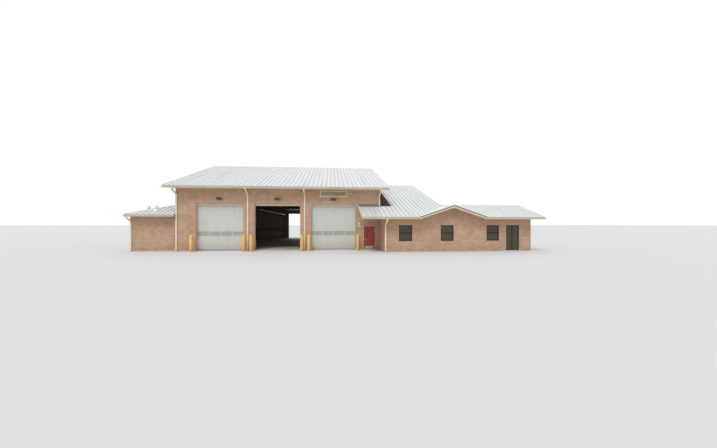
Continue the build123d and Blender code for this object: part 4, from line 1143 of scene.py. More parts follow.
# each drip edge: the axis it runs along, its ends, where the eave is, which way that faces, and its height
def makeDrips():
    drip, back, sheet = flashing["drip"], flashing["dripBack"], flashing["sheet"]
    bm = bmesh.new()
    for axis, start, end, eave, out, top in (
        ("x", hallRoofLow.x, hallRoofHigh.x, -hallRun, -1, hallEaveTop),
        ("x", hallRoofLow.x, hallRoofHigh.x, hallRun, 1, hallEaveTop),
        ("x", canopyLeft, gableLeft, wingFrontEave, -1, wingEaveTop),
        ("x", gableRight, lowRoofEnd, wingFrontEave, -1, wingEaveTop),
        ("x", highRoofLeft, highRoofRight, wingRearEave, 1, wingEaveTop),
        ("x", highRoofRight, lowRoofEnd, lowRearEave, 1, wingEaveTop),
        ("x", leanLow.x, hallLeft, leanLow.y, -1, leanEaveTop),
        ("x", leanLow.x, hallLeft, leanHigh.y, 1, leanEaveTop),
        ("y", leanLow.y, leanHigh.y, leanLow.x, -1, leanEaveTop),
    ):
        lip = top - drip * pitch - flashing["dripLip"]
        inner, outer = eave + out * (drip - sheet), eave + out * drip
        behind, rise = eave - out * back, back * pitch
        outline = [
            (behind, top + rise), (inner, top - (drip - sheet) * pitch), (inner, lip),
            (outer, lip), (outer, top - drip * pitch + sheet), (behind, top + rise + sheet),
        ]
        if axis == "x":
            addPrismX(bm, start, end, outline)
        else:
            addPrism(bm, [(v, start, z) for v, z in outline], (0, end - start, 0))
    makePiece("roofDripEdges", bm, "roof")


# each rake cover: the axis it runs along, its outer face, which way that faces, its two ends and its roof
def makeRakes():
    board, sheet, wide, drop = (flashing[key] for key in ("board", "sheet", "rakeTop", "rakeSide"))
    step, offRidge = flashing["wallStep"], 0.02
    rakes = [
        ("y", canopyLeft - board, -1, wingFrontEave, hallFront, wingTop),
        ("y", lowRoofEnd + board, 1, wingFrontEave, lowRidgeY, wingTop),
        ("y", lowRoofEnd + board, 1, lowRearEave, lowRidgeY, lowRearTop),
        ("y", highRoofLeft - board, -1, hallFront + step, highRidgeY, wingTop),
        ("y", highRoofRight + board, 1, lowRidgeY + step, highRidgeY, wingTop),
        ("y", highRoofLeft - board, -1, wingRearEave, highRidgeY, highRearTop),
        ("y", highRoofRight + board, 1, wingRearEave, highRidgeY, highRearTop),
        ("x", wingFrontEave - board, -1, gableLeft, gableCentre, gableTop),
        ("x", wingFrontEave - board, -1, gableRight, gableCentre, gableTop),
    ]
    for face, out in ((hallRoofLow.x - board, -1), (hallRoofHigh.x + board, 1)):
        rakes += [("y", face, out, side * hallRun, side * offRidge, hallTop) for side in (-1, 1)]
    bm = bmesh.new()
    for axis, face, out, start, end, top in rakes:
        outer, inner = face + out * sheet, face - out * wide
        low, rise = top(start), top(end) - top(start)
        outline = [
            (face, -drop), (outer, -drop), (outer, 3 * sheet), (inner, 3 * sheet), (inner, 2 * sheet),
            (face, 2 * sheet),
        ]
        if axis == "y":
            addPrism(bm, [(u, start, low + z) for u, z in outline], (0, end - start, rise))
        else:
            addPrism(bm, [(start, u, low + z) for u, z in outline], (end - start, 0, rise))
    makePiece("rakeCovers", bm, "roof")


# painted shade: a dark strip under the bright edge of the street gable, for the shade below the sheet's edge
def makeGableEdges():
    bm = bmesh.new()
    face = wingFrontEave - flashing["board"] - flashing["sheet"]
    low, high = -flashing["rakeSide"], -0.004
    for end in (gableLeft, gableRight):
        outline = [(face - 0.004, low), (face, low), (face, high), (face - 0.004, high)]
        rise = gableTop(gableCentre) - gableTop(end)
        addPrism(bm, [(end, y, gableTop(end) + z) for y, z in outline], (gableCentre - end, 0, rise))
    makePiece("gableEdges", bm, "gableEdgeShade")


def ribPlaces(start, end):
    step = math.copysign(soffit["every"], end - start)
    return [start + (i + 0.5) * step for i in range(int(abs(end - start) / soffit["every"]))]


# low ribs across the flat soffits
def makeSoffitRibs():
    offBoard, offWall = 0.03, 0.02
    wingEaves = wingFrontEave + offBoard, wingFront - offWall
    spans = []
    for x0, x1, y0, y1, z in (
        (hallLeft, hallRight, -hallRun + offBoard, hallFront - offWall, hallSoffit),
        (hallLeft, hallRight, hallRear + offWall, hallRun - offBoard, hallSoffit),
        (hallRight, gableLeft, *wingEaves, wingSoffit),
        (gableRight, wingEnd, *wingEaves, wingSoffit),
        (highWallLeft, highWallRight, hallRear + offWall, wingRearEave - offBoard, wingSoffit),
        (highWallRight, wingEnd, lowWallRear + offWall, lowRearEave - offBoard, wingSoffit),
    ):
        spans += [((x, y0, z), (x, y1, z), (0, 0, -1)) for x in ribPlaces(x0, x1)]
    layBars("soffitRibs", spans, soffit["rib"], "trim")


# linings under the roof over the entry and past the gable walls, with ribs across
def makeLinings():
    gap, deep, off = soffit["gap"], soffit["lining"], soffit["offEdge"]
    offCladding, offRoof, wideCanopy = 0.035, 0.2, 1.5
    spans = [
        (canopyLeft, hallRight - gap, wingFrontEave + off, hallFront - gap, wingTop),
        (highRoofLeft, highWallLeft - offCladding, hallFront + offRoof, highRidgeY - off, wingTop),
        (highRoofLeft, highWallLeft - offCladding, wingRearEave - off, highRidgeY + off, highRearTop),
        (highWallRight + gap, highRoofRight, lowRidgeY + offRoof, highRidgeY - off, wingTop),
        (highWallRight + gap, highRoofRight, wingRearEave - off, highRidgeY + off, highRearTop),
        (wingEnd + gap, lowRoofEnd, wingFrontEave + off, lowRidgeY - off, wingTop),
        (wingEnd + gap, lowRoofEnd, lowRearEave - off, lowRidgeY + off, lowRearTop),
    ]
    for side in (-1, 1):
        for ends in ((hallRoofLow.x, hallLeft - gap), (hallRight + gap, hallRoofHigh.x)):
            spans.append((*ends, side * (hallRun - off), side * off, hallTop))
    bm = bmesh.new()
    ribs = []
    for x0, x1, y0, y1, top in spans:
        low, high = (under(top, y) - 0.001 for y in (y0, y1))
        addPrismX(bm, x0, x1, [(y0, low), (y1, high), (y1, high - deep), (y0, low - deep)])
        slope = (high - low) / (y1 - y0)
        if x1 - x0 > wideCanopy:
            ribs += [((x, y0, low - deep), (x, y1, high - deep), (0, slope, -1)) for x in ribPlaces(x0, x1)]
            continue
        for y in ribPlaces(y0, y1):
            z = low - deep + slope * (y - y0)
            ribs.append(((x0, y, z), (x1, y, z), (0, slope, -1)))
    front, back = wingFrontEave + off, wingFront - gap
    for side in (-1, 1):
        foot, peak = gableCentre + side * (gableHalf - off), gableCentre + side * off
        low, high = (under(gableTop, x) - 0.001 for x in (foot, peak))
        outline = [(foot, low), (peak, high), (peak, high - deep), (foot, low - deep)]
        addPrism(bm, [(x, front, z) for x, z in outline], (0, back - front, 0))
        for x in ribPlaces(foot, foot - side * gableHalf):
            z = under(gableTop, x) - 0.001 - deep
            ribs.append(((x, front, z), (x, back, z), (-side * pitch, 0, -1)))
    makePiece("roofLinings", bm, "trim")
    layBars("liningRibs", ribs, soffit["rib"], "trim")


def makeValleys():
    bm = bmesh.new()
    wide = flashing["valley"]
    peak = Vector((gableCentre, wingFrontEave + gableHalf, gableTop(gableCentre)))
    for side in (-1, 1):
        y = wingFrontEave + wide
        foot = Vector((gableCentre + side * (gableHalf - wide), y, wingTop(y)))
        for sideways in (Vector((side * wide, 0, 0)), Vector((0, -wide, 0))):
            addPrism(bm, [foot, peak, peak + sideways, foot + sideways], (0, 0, flashing["sheet"]))
    makePiece("valleyFlashings", bm, "roof")


# caps over the two hips of the lean-to and over the ridge of the street gable
def makeCaps():
    run = min(leanRun, (leanHigh.y - leanLow.y) / 2)
    ridgeEnds = wingFrontEave - 0.02, wingFrontEave + gableHalf
    lines = [(*((gableCentre, y, gableTop(gableCentre)) for y in ridgeEnds), (0, 0, 1))]
    for y, sign in ((leanLow.y, 1), (leanHigh.y, -1)):
        hip = (leanLow.x + run, y + sign * run, leanEaveTop + run * pitch)
        lines.append(((leanLow.x, y, leanEaveTop), hip, (-pitch, -sign * pitch, 2)))
    sunk = flashing["hipBase"] / 2 * pitch * 0.6
    down = Vector((0, 0, sunk))
    lines = [(Vector(start) - down, Vector(end) - down, way) for start, end, way in lines]
    sizes = (flashing["hipHeight"] + sunk, flashing["hipBase"], flashing["hipTop"])
    layBars("hipAndGableCaps", lines, sizes, "roof")


# an apron where the canopy meets the hall, and upstands beside the lean-to and link roofs, in roof metal
# darkened as painted shade
def makeWallFlashings():
    bm = bmesh.new()
    sheet, up, apron, proud = (flashing[key] for key in ("sheet", "upstand", "apron", "proud"))
    top, face = wingTop(hallFront) + seams["height"], hallFront - proud
    fall = apron * pitch
    addPrismX(bm, canopyLeft, hallRight, [
        (face, top + up), (face - sheet, top + up), (face - sheet, top + sheet),
        (face - apron, top + sheet - fall), (face - apron, top - fall), (face, top),
    ])
    high = leanEaveTop + leanRun * pitch
    leanLine = [
        (hallFront, leanTop(hallLeft, hallFront)), (leanLow.y + leanRun, high), (leanHigh.y - leanRun, high),
        (leanHigh.y, leanEaveTop),
    ]
    linkLine = [(y, linkTop(y)) for y in (hallFront, hallRear)]
    for x, line, rise in ((hallLeft, leanLine, up + seams["height"]), (hallRight, linkLine, up)):
        out = math.copysign(1, x)
        upper = [(y, z + rise) for y, z in line[::-1]]
        addPrismX(bm, x + out * proud, x + out * (proud + sheet), line + upper)
    makePiece("wallFlashings", bm, "flashing")


def makeRidgeScrews():
    places = []
    for low, high in ridgeBoxes:
        middle, half = (low.y + high.y) / 2, (high.y - low.y) / 2 - 0.03
        first, step, count = panGrid(low.x, high.x)
        for i in range(count):
            for side in (-1, 1):
                place = (first + (i + 0.5) * step, middle + side * half, high.z - half * pitch)
                places.append((place, (0, side * pitch, 1)))
    layScrews("ridgeScrews", places, 0.011)


makeDrips()
makeRakes()
makeGableEdges()
makeSoffitRibs()
makeLinings()
makeValleys()
makeCaps()
makeWallFlashings()
makeRidgeScrews()
print("flashings made")


# gutters get hangers across the top and joint sleeves, downspouts get wall straps
drainage = {
    "width": 0.15,
    "height": 0.14,
    "toe": 0.63,
    "knee": 0.83,
    "rise": 0.45,
    "hangerEvery": 0.75,
    "hangerHalf": 0.013,
    "sleeveEvery": 6.1,
    "sleeve": 0.07,
    "spoutWidth": 0.125,
    "spoutDepth": 0.09,
    "spoutOffWall": 0.002,
    "strap": 0.036,
    "strapSheet": 0.003,
    "strapEvery": 1.35,
}


# top edge of each gutter against its board, and the way the gutter faces
def gutterRuns():
    runs = []
    for low, high in solidBoxes("gutters"):
        if high.x - low.x > high.y - low.y:
            street = low.y < hallFront - 0.1
            face = high.y if street else low.y
            runs.append((Vector((low.x, face, high.z)), Vector((high.x, face, high.z)), facingOut(street)))
        else:
            runs.append((Vector((high.x, low.y, high.z)), high, leftward))
    return runs


def alongRun(start, end, every, margin):
    length = (end - start).length - 2 * margin
    count = max(1, round(length / every))
    way = (end - start).normalized()
    return [start + way * (margin + length * (i + 0.5) / count) for i in range(count)]


def makeGutterFittings():
    width, height, half = drainage["width"], drainage["height"], drainage["hangerHalf"]
    toe, knee = width * drainage["toe"], width * drainage["knee"]
    level = -height * (1 - drainage["rise"])
    hanger = bmesh.new()
    addBox(hanger, (-half, -width + 0.004, -0.013), (half, -0.003, -0.009))
    sleeve = bmesh.new()
    addPrismX(sleeve, -drainage["sleeve"] / 2, drainage["sleeve"] / 2, [
        (0, -height), (-toe, -height), (-knee, level), (-width, 0), (-width - 0.003, 0),
        (-knee - 0.003, level - 0.001), (-toe - 0.001, -height - 0.003), (0, -height - 0.003),
    ])
    hangers, sleeves = [], []
    for start, end, turn in gutterRuns():
        hangers += [(place, turn) for place in alongRun(start, end, drainage["hangerEvery"], 0.1)]
        if (end - start).length > drainage["sleeveEvery"]:
            sleeves += [(place, turn) for place in alongRun(start, end, drainage["sleeveEvery"], 0)]
    layCopies("gutterHangers", hanger, hangers, "trim")
    layCopies("gutterSleeves", sleeve, sleeves, "trim")


def makeStraps():
    half, tall, sheet = drainage["spoutWidth"] / 2, drainage["strap"] / 2, drainage["strapSheet"]
    face = -drainage["spoutDepth"] - drainage["spoutOffWall"]
    firstUp, topFree, tab = 0.3, 0.75, 0.036
    screw = [(0.007, 0), (0.007, 0.003), (0.004, 0.005)]
    bm = bmesh.new()
    addBox(bm, (-half - sheet, face - sheet, -tall), (half + sheet, face, tall))
    for side in (-1, 1):
        addBox(bm, (side * half, face, -tall), (side * (half + sheet), 0, tall))
        addBox(bm, (side * (half + sheet), -0.014, -tall), (side * (half + tab), -0.009, tall))
        addTurned(bm, (side * (half + 0.02), -0.013, 0), (0, -1, 0), screw, 8)
    places = []
    for low, high in solidBoxes("downspouts"):
        street = (low.y + high.y) / 2 < leanWallLow.y
        wall = high.y + drainage["spoutOffWall"] if street else low.y - drainage["spoutOffWall"]
        z = low.z + firstUp
        while z < high.z - topFree:
            places.append((((low.x + high.x) / 2, wall, z), facingOut(street)))
            z += drainage["strapEvery"]
    layCopies("spoutStraps", bm, places, "spout")


makeGutterFittings()
makeStraps()
print("gutter and downspout fittings made")


# overhead doors: low ribs, frames round the glass, a bottom rail with its seal, and stiles and hinges inside
doorParts = {
    "sections": 7,
    "rib": (0.004, 0.018, 0.008),
    "ribAt": (0.26, 0.5, 0.74),
    "ribOffGlass": 0.06,
    "liteFrame": 0.028,
    "liteFrameProud": 0.008,
    "rail": 0.07,
    "seal": 0.022,
    "stile": 0.05,
    "stiles": 5,
    "hinge": 0.06,
}
panes = solidBoxes("door_glazing")
standing = [pane for pane in panes if pane[1].z - pane[0].z > 0.1]
lying = [pane for pane in panes if pane[1].z - pane[0].z <= 0.1]
shutLow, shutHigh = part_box("front_door_left")
sectionHeight = (shutHigh.z - shutLow.z) / doorParts["sections"]
doorHeight = sectionHeight * doorParts["sections"]
shutDoors = (("front_door_left", -1), ("front_door_right", -1), ("rear_door_left", 1), ("rear_door_right", 1))


# where a door's ribs run, measured up from its lower edge, clear of the glass
def doorRibs(start, glass):
    steps = [section + share for section in range(doorParts["sections"]) for share in doorParts["ribAt"]]
    off = doorParts["ribOffGlass"]
    places = [start + step * sectionHeight for step in steps]
    return [place for place in places if not any(low - off < place < high + off for low, high in glass)]


def doorStiles(left, right):
    last, fromEdge = doorParts["stiles"] - 1, doorParts["stile"]
    xs = [left + i * (right - left) / last for i in range(last + 1)]
    return [min(max(x, left + fromEdge), right - fromEdge) for x in xs]


def makeDoorDetails():
    ribs, stiles, hinges = [], [], []
    rails, seals = bmesh.new(), bmesh.new()
    seal = doorParts["seal"]
    joints = [section * sectionHeight for section in range(1, doorParts["sections"])]
    for name, out in shutDoors:
        low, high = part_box(name)
        outer, inner = (low.y, high.y) if out < 0 else (high.y, low.y)
        left, right = low.x + doorEdgeInTrack, high.x - doorEdgeInTrack
        for z in doorRibs(low.z, [(pane[0].z, pane[1].z) for pane in standing]):
            ribs.append(((left, outer, z), (right, outer, z), (0, out, 0)))
        sealTop = low.z + seal
        railTop = sealTop + doorParts["rail"]
        addBox(rails, (left, outer + out * 0.004, sealTop), (right, outer - out * 0.002, railTop))
        addBox(seals, (left, outer + out * 0.006, low.z + 0.001), (right, inner - out * 0.004, sealTop))
        for x in doorStiles(left, right):
            stiles.append(((x, inner, low.z), facingOut(out > 0)))
            hinges += [((x, inner, low.z + up), facingOut(out > 0)) for up in joints]
    for name in ("front_door_middle", "rear_door_middle"):
        low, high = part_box(name)
        left, right = low.x + doorEdgeInTrack, high.x - doorEdgeInTrack
        for x in doorStiles(left, right):
            stiles.append(((x, high.y, low.z), downward))
            hinges += [((x, high.y - along, low.z), downward) for along in joints]
        for y in doorRibs(low.y, [(pane[0].y, pane[1].y) for pane in lying]):
            ribs.append(((left, y, high.z), (right, y, high.z), (0, 0, 1)))
    layBars("doorRibs", ribs, doorParts["rib"], "door")
    makePiece("doorBottomRails", rails, "door", bevel=0.001)
    makePiece("doorBottomSeals", seals, "rubber", bevel=0.002)
    makeLiteFrames()
    half = doorParts["stile"] / 2
    stile = bmesh.new()
    addBox(stile, (-half, -0.004, 0.01), (half, 0.001, doorHeight - 0.01))
    layCopies("doorStiles", stile, stiles, "zinc")
    half = doorParts["hinge"] / 2
    hinge = bmesh.new()
    for side in (-1, 1):
        addBox(hinge, (-half, -0.009, side * 0.006), (half, -0.003, side * 0.07))
    addTurned(hinge, (-0.04, -0.014, 0), (1, 0, 0), [(0.009, 0), (0.009, 0.08)], 10)
    layCopies("doorHinges", hinge, hinges, "zinc")


def makeLiteFrames():
    liteLow, liteHigh = standing[0]
    edge, proud = doorParts["liteFrame"], doorParts["liteFrameProud"]
    lap = edge * 0.6
    halfWide, halfHigh = (liteHigh.x - liteLow.x) / 2 + lap, (liteHigh.z - liteLow.z) / 2 + lap
    shape = bmesh.new()
    addRing(shape, "y", -proud, proud + 0.006, -halfWide, halfWide, -halfHigh, halfHigh, edge)
    shutFace, raisedFace = abs(shutLow.y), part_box("front_door_middle")[1].z
    frames = []
    for low, high in standing:
        centre = (low + high) / 2
        frames.append(((centre.x, math.copysign(shutFace, centre.y), centre.z), facingOut(centre.y < 0)))
    for low, high in lying:
        frames.append((((low.x + high.x) / 2, (low.y + high.y) / 2, raisedFace), upward))
    layCopies("doorLiteFrames", shape, frames, "door")


makeDoorDetails()
print("overhead door details made")


# roof framing inside the hall: purlins under the sheets on two pairs of rafters with flanges and webs
framing = {
    "purlinEvery": 1.5,
    "purlin": (0.18, 0.065, 0.065),
    "flange": (0.014, 0.18, 0.18),
    "web": (0.3, 0.012, 0.012),
}


def makeFraming():
    deep, webDeep = framing["purlin"][0], framing["web"][0]
    fromWall, fromRidge = 0.4, 0.02
    purlins, rafters = [], []
    y = framing["purlinEvery"] / 2
    while y < hallRear - fromWall:
        z = under(hallTop, y)
        for side in (-1, 1):
            ends = [(x, side * y, z) for x in (hallLeft + hallWall, hallRight - hallWall)]
            purlins.append((*ends, (0, -side * pitch, -1)))
        y += framing["purlinEvery"]
    pierCentres = [(doorways[i][1] + doorways[i + 1][0]) / 2 for i in (0, 1)]
    for depth in (deep, deep + webDeep):
        drop = hallRoofThickness + depth * math.hypot(1, pitch)
        for x in pierCentres:
            for side in (-1, 1):
                ends = [(x, side * y, hallTop(y) - drop) for y in (hallRear - hallWall, fromRidge)]
                rafters.append((*ends, (0, -side * pitch, -1)))
    webs = rafters[:len(rafters) // 2]
    for name, lines, part in (
        ("hallPurlins", purlins, "purlin"), ("rafterFlanges", rafters, "flange"), ("rafterWebs", webs, "web"),
    ):
        layBars(name, lines, framing[part], "zinc")


makeFraming()
print("roof framing made")


# a pair of floodlights over each doorway and a two-part white light beside the entry
lamps = {
    "spread": 0.15,
    "out": 0.12,
    "tilt": 20,
    "head": (0.19, 0.21),
    "bezel": 0.018,
    "fins": 7,
    "box": (0.13, 0.11),
    "wallBox": (0.17, 0.18, 0.11),
    "globe": 0.09,
}
lightBoxes = solidBoxes("outside_lights")
floodHeight = max((low.z + high.z) / 2 for low, high in lightBoxes)
wallLights = sorted((box for box in lightBoxes if box[1].z < 3), key=lambda box: box[0].z)


# moves the corners added after the given count to one side and tilts them down
def turnHead(bm, count, side):
    move = Matrix.Translation((side * lamps["spread"], -lamps["out"], 0))
    tilt = Matrix.Rotation(math.radians(lamps["tilt"]), 4, "X")
    bmesh.ops.transform(bm, matrix=move @ tilt, verts=list(bm.verts)[count:])


def makeFloodlights():
    wide, tall = (size / 2 for size in lamps["head"])
    boxX, boxZ = (size / 2 for size in lamps["box"])
    front, finWide, finTall = -0.03, wide * 0.7, tall * 0.72
    housing, lens = bmesh.new(), bmesh.new()
    addBox(housing, (-boxX, -0.055, -boxZ), (boxX, 0, boxZ))
    addBox(housing, (-boxX * 0.9, -0.062, -boxZ * 0.88), (boxX * 0.9, -0.055, boxZ * 0.88))
    addTurned(housing, (-0.12, -0.075, 0), (1, 0, 0), [(0.013, 0), (0.013, 0.24)], 12)
    for side in (-1, 1):
        knuckle = [(0.024, 0), (0.024, 0.02), (0.02, 0.024)]
        addTurned(housing, (side * 0.055, -0.075, 0), (side, 0, 0), knuckle, 14)
        count = len(housing.verts)
        body = rectangle(-wide * 0.95, wide * 0.95, -tall * 0.95, tall * 0.95)
        near = [housing.verts.new((x, front, z)) for x, z in body]
        far = [housing.verts.new((x * 0.8, 0.035, z * 0.8)) for x, z in body]
        housing.faces.new(near)
        housing.faces.new(far[::-1])
        joinRings(housing, far, near)
        addRing(housing, "y", front - 0.025, 0.028, -wide, wide, -tall, tall, lamps["bezel"])
        for i in range(lamps["fins"]):
            x = finWide * (2 * i / (lamps["fins"] - 1) - 1)
            addBox(housing, (x - 0.0025, 0.03, -finTall), (x + 0.0025, 0.06, finTall))
        addBox(housing, (-wide, front - 0.06, tall - 0.005), (wide, front - 0.02, tall))
        turnHead(housing, count, side)
        count, edge = len(lens.verts), 0.016
        addBox(lens, (-wide + edge, front - 0.012, -tall + edge), (wide - edge, front - 0.006, tall - edge))
        turnHead(lens, count, side)
    places = [(((start + end) / 2, hallFront - 0.005, floodHeight), streetward) for start, end in doorways]
    parts = ("floodlightHousings", housing, "lamp"), ("floodlightLenses", lens, "floodLens")
    for name, bm, material in parts:
        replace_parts(layCopies(name, bm, places, material), "outside_lights")


def makeWallLight():
    lower, upper = ((low + high) / 2 for low, high in (wallLights[0], wallLights[-1]))
    wide, tall, deep = lamps["wallBox"]
    back, radius = hallFront - 0.004, lamps["globe"]
    left, right, bottom, top = lower.x - wide / 2, lower.x + wide / 2, lower.z - tall / 2, lower.z + tall / 2
    housing, lens = bmesh.new(), bmesh.new()
    addBox(housing, (left, back - 0.035, bottom), (right, back, top))
    addBox(housing, (left, back - deep, top - 0.022), (right, back - 0.03, top))
    for inner, outer in ((left + 0.012, left), (right - 0.012, right)):
        addBox(housing, (inner, back - deep * 0.92, bottom + 0.02), (outer, back - 0.03, top - 0.02))
    inset, paneFront = 0.014, back - deep * 0.86
    addBox(lens, (left + inset, paneFront, bottom + 0.012), (right - inset, back - 0.034, top - 0.024))
    plate = [(radius, 0), (radius, 0.022), (radius * 0.93, 0.03)]
    dome = [(0.86, 0.02), (0.86, 0.055), (0.78, 0.085), (0.55, 0.112), (0.2, 0.126)]
    centre = (lower.x, back, upper.z)
    addTurned(housing, centre, (0, -1, 0), plate, 28)
    addTurned(lens, centre, (0, -1, 0), [(radius * share, reach) for share, reach in dome], 28)
    parts = ("wallLightHousing", housing, "vent"), ("wallLightLens", lens, "lampLens")
    for name, bm, material in parts:
        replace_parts(makePiece(name, bm, material, bevel=0.003), "outside_lights")


makeFloodlights()
makeWallLight()
print("outside lights made")


# roof vents: a flashing plate on the slope, a boot, the pipe with a storm collar, and a skirted cap
vents = {"pipe": 0.11, "boot": 0.18, "cap": 0.19, "skirt": 0.2, "plate": 0.21, "sheet": 0.004, "sunk": 0.12}


def makeVents():
    pipe, boot, cap, skirt, half = (vents[key] for key in ("pipe", "boot", "cap", "skirt", "plate"))
    bm = bmesh.new()
    for low, high in solidBoxes("roof_vents"):
        x, y = (low.x + high.x) / 2, (low.y + high.y) / 2
        onSide = x - leanLow.x < min(y - leanLow.y, leanHigh.y - y)
        slopeX, slopeY = (pitch, 0) if onSide else (0, pitch)
        base, top = leanTop(x, y), high.z
        corners = []
        for u, v in rectangle(-half, half, -half, half):
            corners.append((x + u, y + v, base + slopeX * u + slopeY * v + seams["ribHeight"]))
        addPrism(bm, corners, (0, 0, vents["sheet"]))
        foot = base - vents["sunk"]
        collar = base - foot + 0.11
        steps = [(boot, 0), (boot, 0.14), (pipe + 0.012, collar), (pipe, collar), (pipe, top - foot - 0.1)]
        addTurned(bm, (x, y, foot), (0, 0, 1), steps, 28)
        storm = [(pipe + 0.03, 0), (pipe + 0.026, 0.005), (pipe + 0.001, 0.03)]
        addTurned(bm, (x, y, base + 0.15), (0, 0, 1), storm, 28)
        rise = skirt + 0.04
        steps = [
            (cap * 0.93, 0), (cap * 0.93, 0.02), (cap * 0.9, 0.024), (cap, skirt),
            (cap * 0.95, skirt + 0.018), (cap * 0.4, rise - 0.006), (0.012, rise),
        ]
        addTurned(bm, (x, y, top - rise), (0, 0, 1), steps, 32)
    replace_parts(makePiece("roofVents", bm, "vent", bevel=0.001), "roof_vents")


makeVents()
print("roof vents made")


# small pieces: the bare sign plate, window beads and sills, and fittings of the entry door
fittings = {
    "signFrame": 0.06,
    "signBack": 0.02,
    "signScrews": 7,
    "bead": 0.012,
    "beadDepth": 0.006,
    "sillSetback": 0.07,
    "sillProud": 0.03,
    "sillSheet": 0.012,
    "liteFrame": 0.026,
    "kickPlate": (0.025, 0.275),
    "kickScrews": 6,
}


# rows of screws: where the first and last stand, how many, the face they sit on, and the rows' heights
def screwRows(left, right, count, face, heights):
    xs = [left + i * (right - left) / (count - 1) for i in range(count)]
    return [((x, face, z), (0, -1, 0)) for x in xs for z in heights]


def makeSign():
    low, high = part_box("sign_panel")
    edge, back = fittings["signFrame"], low.y + fittings["signBack"]
    bm = bmesh.new()
    addBox(bm, (low.x + edge, back - 0.003, low.z + edge), (high.x - edge, back + 0.003, high.z - edge))
    makePiece("signPlate", bm, "signPlate")
    heights = (low.z + edge / 2, high.z - edge / 2)
    screws = screwRows(low.x + edge / 2, high.x - edge / 2, fittings["signScrews"], low.y, heights)
    layScrews("signScrews", screws, 0.009)


def makeWindowFittings():
    depth = fittings["beadDepth"]
    beads = bmesh.new()
    for low, high in solidBoxes("window_glass"):
        axis, index, other = ("y", 1, 0) if high.y - low.y < high.x - low.x else ("x", 0, 1)
        for place in (low[index] - depth, high[index]):
            addRing(beads, axis, place, depth, low[other], high[other], low.z, high.z, fittings["bead"])
    makePiece("windowBeads", beads, "rubber")
    plain = [box for box in windowBoxes if box[0].z > 0.5]
    half = max(plain[0][1].x - plain[0][0].x, plain[0][1].y - plain[0][0].y) / 2
    nose = -fittings["sillSetback"] - fittings["sillProud"]
    sill, places = bmesh.new(), []
    back = fittings["sillSheet"] + 0.006
    addPrismX(sill, -half, half, [(0, 0.001), (nose, 0.001), (nose, 0.006), (0, back)])
    for low, high in plain:
        x, y = (low.x + high.x) / 2, (low.y + high.y) / 2
        if high.x - low.x > high.y - low.y:
            street = abs(low.y - wingFront) < wingWall
            places.append(((x, low.y if street else high.y, low.z), facingOut(street)))
        else:
            places.append(((high.x, y, low.z), rightward))
    layCopies("windowSills", sill, places, "bronze")


def makeEntryFittings():
    low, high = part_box("entry_door_leaf")
    liteLow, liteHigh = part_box("entry_door_lite")
    edge = fittings["liteFrame"]
    lap = edge * 0.7
    outside = (liteLow.x - lap, liteHigh.x + lap, liteLow.z - lap, liteHigh.z + lap)
    mould = bmesh.new()
    for place in (low.y - 0.006, high.y - 0.001):
        addRing(mould, "y", place, 0.007, *outside, edge)
    makePiece("entryLiteMoulding", mould, "red", "entry_door", bevel=0.0015)
    sweep = bmesh.new()
    left, right = low.x + 0.004, high.x - 0.004
    addBox(sweep, (left, low.y - 0.007, low.z - 0.003), (right, low.y + 0.002, low.z + 0.022))
    makePiece("entryDoorSweep", sweep, "rubber", "entry_door", bevel=0.001)
    sill = bmesh.new()
    foot, crown = floorTop - 0.001, floorTop + 0.007
    addPrismX(sill, low.x - 0.004, high.x + 0.004, [
        (entryLow.y, foot), (entryHigh.y, foot), (entryHigh.y, floorTop + 0.004),
        (entryHigh.y - 0.02, crown), (entryLow.y + 0.02, crown), (entryLow.y, floorTop + 0.003),
    ])
    makePiece("entryThreshold", sill, "steel")
    kickLow, kickHigh = (low.z + up for up in fittings["kickPlate"])
    heights = (kickLow + 0.015, kickHigh - 0.015)
    screws = screwRows(low.x + 0.04, high.x - 0.04, fittings["kickScrews"], low.y - 0.002, heights)
    layScrews("kickPlateScrews", screws, 0.005, "entry_door")


makeSign()
makeWindowFittings()
makeEntryFittings()
print("small fittings made")


# ribs of the sheet cladding on the high wing's left gable, with a dark bar of painted shade under the roof's
# rake
cladding = {
    "every": 0.3,
    "rib": (0.022, 0.07, 0.03),
    "edge": (0.012, 0.09, 0.08),
    "edgeProud": 0.02,
    "edgeDown": 0.05,
}


def claddingTop(y):
    return min(under(wingTop, y), under(highRearTop, y))


def makeCladding():
    ribs, shortest = [], 0.1
    y = hallFront + cladding["every"] / 2
    while y < hallRear:
        low, high = linkTop(y), claddingTop(y)
        if high - low > shortest:
            ribs.append(((highWallLeft, y, low), (highWallLeft, y, high), (-1, 0, 0)))
        y += cladding["every"]
    layBars("claddingRibs", ribs, cladding["rib"], "cladding")
    edges, x = [], highWallLeft - cladding["edgeProud"]
    for start in (hallFront + 0.1, hallRear):
        ends = [(x, y, claddingTop(y) - cladding["edgeDown"]) for y in (start, highRidgeY)]
        edges.append((*ends, (-1, 0, 0)))
    layBars("claddingEdge", edges, cladding["edge"], "rakeShade")


makeCladding()
print("cladding made")


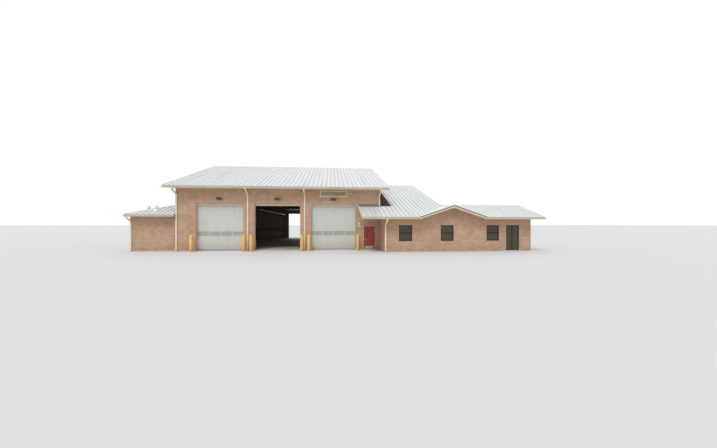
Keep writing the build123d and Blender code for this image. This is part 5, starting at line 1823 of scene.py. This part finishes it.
# camera at the photograph's viewing angle: place in metres, turn in degrees, focal length and width in pixels
photograph = {"place": (4.725, -39.65, 2.54), "turn": -5.38, "focalLength": 292, "width": 717}
light = {"sky": 0.72, "sun": 1.36, "sunAngle": 22, "sunTilt": 38, "sunTurn": -28}
stage = {"size": 600, "floor": (0.72, 0.72, 0.71, 1), "sky": (0.95, 0.97, 1.0, 1)}


def makeCamera():
    camera = newObject("camera", bpy.data.cameras.new("camera"))
    camera.location = photograph["place"]
    camera.rotation_euler = (math.radians(90), 0, math.radians(photograph["turn"]))
    camera.data.sensor_width = 36
    camera.data.lens = camera.data.sensor_width * photograph["focalLength"] / photograph["width"]
    camera.data.clip_end = 1000
    scene.camera = camera


# pale floor that reaches the horizon
def makeStage():
    bm = bmesh.new()
    size = stage["size"]
    bm.faces.new([bm.verts.new((x, y, 0)) for x, y in rectangle(-size, size, -size, size)])
    floor = newObject("floorStage", meshFrom("floorStage", bm))
    material, tree, inputs = startMaterial("paleFloor", 0.9)
    inputs["Base Color"].default_value = stage["floor"]
    floor.data.materials.append(material)


# one soft sun and an even sky, with plain white where the camera, glass and gloss look past the building
def makeLight():
    sun = newObject("softSun", bpy.data.lights.new("softSun", "SUN"))
    sun.data.energy = light["sun"]
    sun.data.angle = math.radians(light["sunAngle"])
    sun.rotation_euler = (math.radians(light["sunTilt"]), 0, math.radians(light["sunTurn"]))
    scene.world = bpy.data.worlds.new("studio")
    scene.world.use_nodes = True
    tree = scene.world.node_tree
    tree.nodes.clear()
    sky = addNode(tree, "ShaderNodeBackground", {"Color": stage["sky"], "Strength": light["sky"]})
    white = addNode(tree, "ShaderNodeBackground", {"Color": (1, 1, 1, 1), "Strength": 1.0})
    path = tree.nodes.new("ShaderNodeLightPath").outputs
    shown = calculate(tree, "MAXIMUM", path["Is Camera Ray"], path["Is Glossy Ray"])
    shown = calculate(tree, "MAXIMUM", shown, path["Is Transmission Ray"])
    mix = addNode(tree, "ShaderNodeMixShader", {0: shown, 1: sky.outputs[0], 2: white.outputs[0]})
    addNode(tree, "ShaderNodeOutputWorld", {0: mix.outputs[0]})


makeCamera()
makeStage()
makeLight()
scene.view_settings.view_transform = "Standard"
print("camera, floor and light set")

bpy.context.view_layer.update()
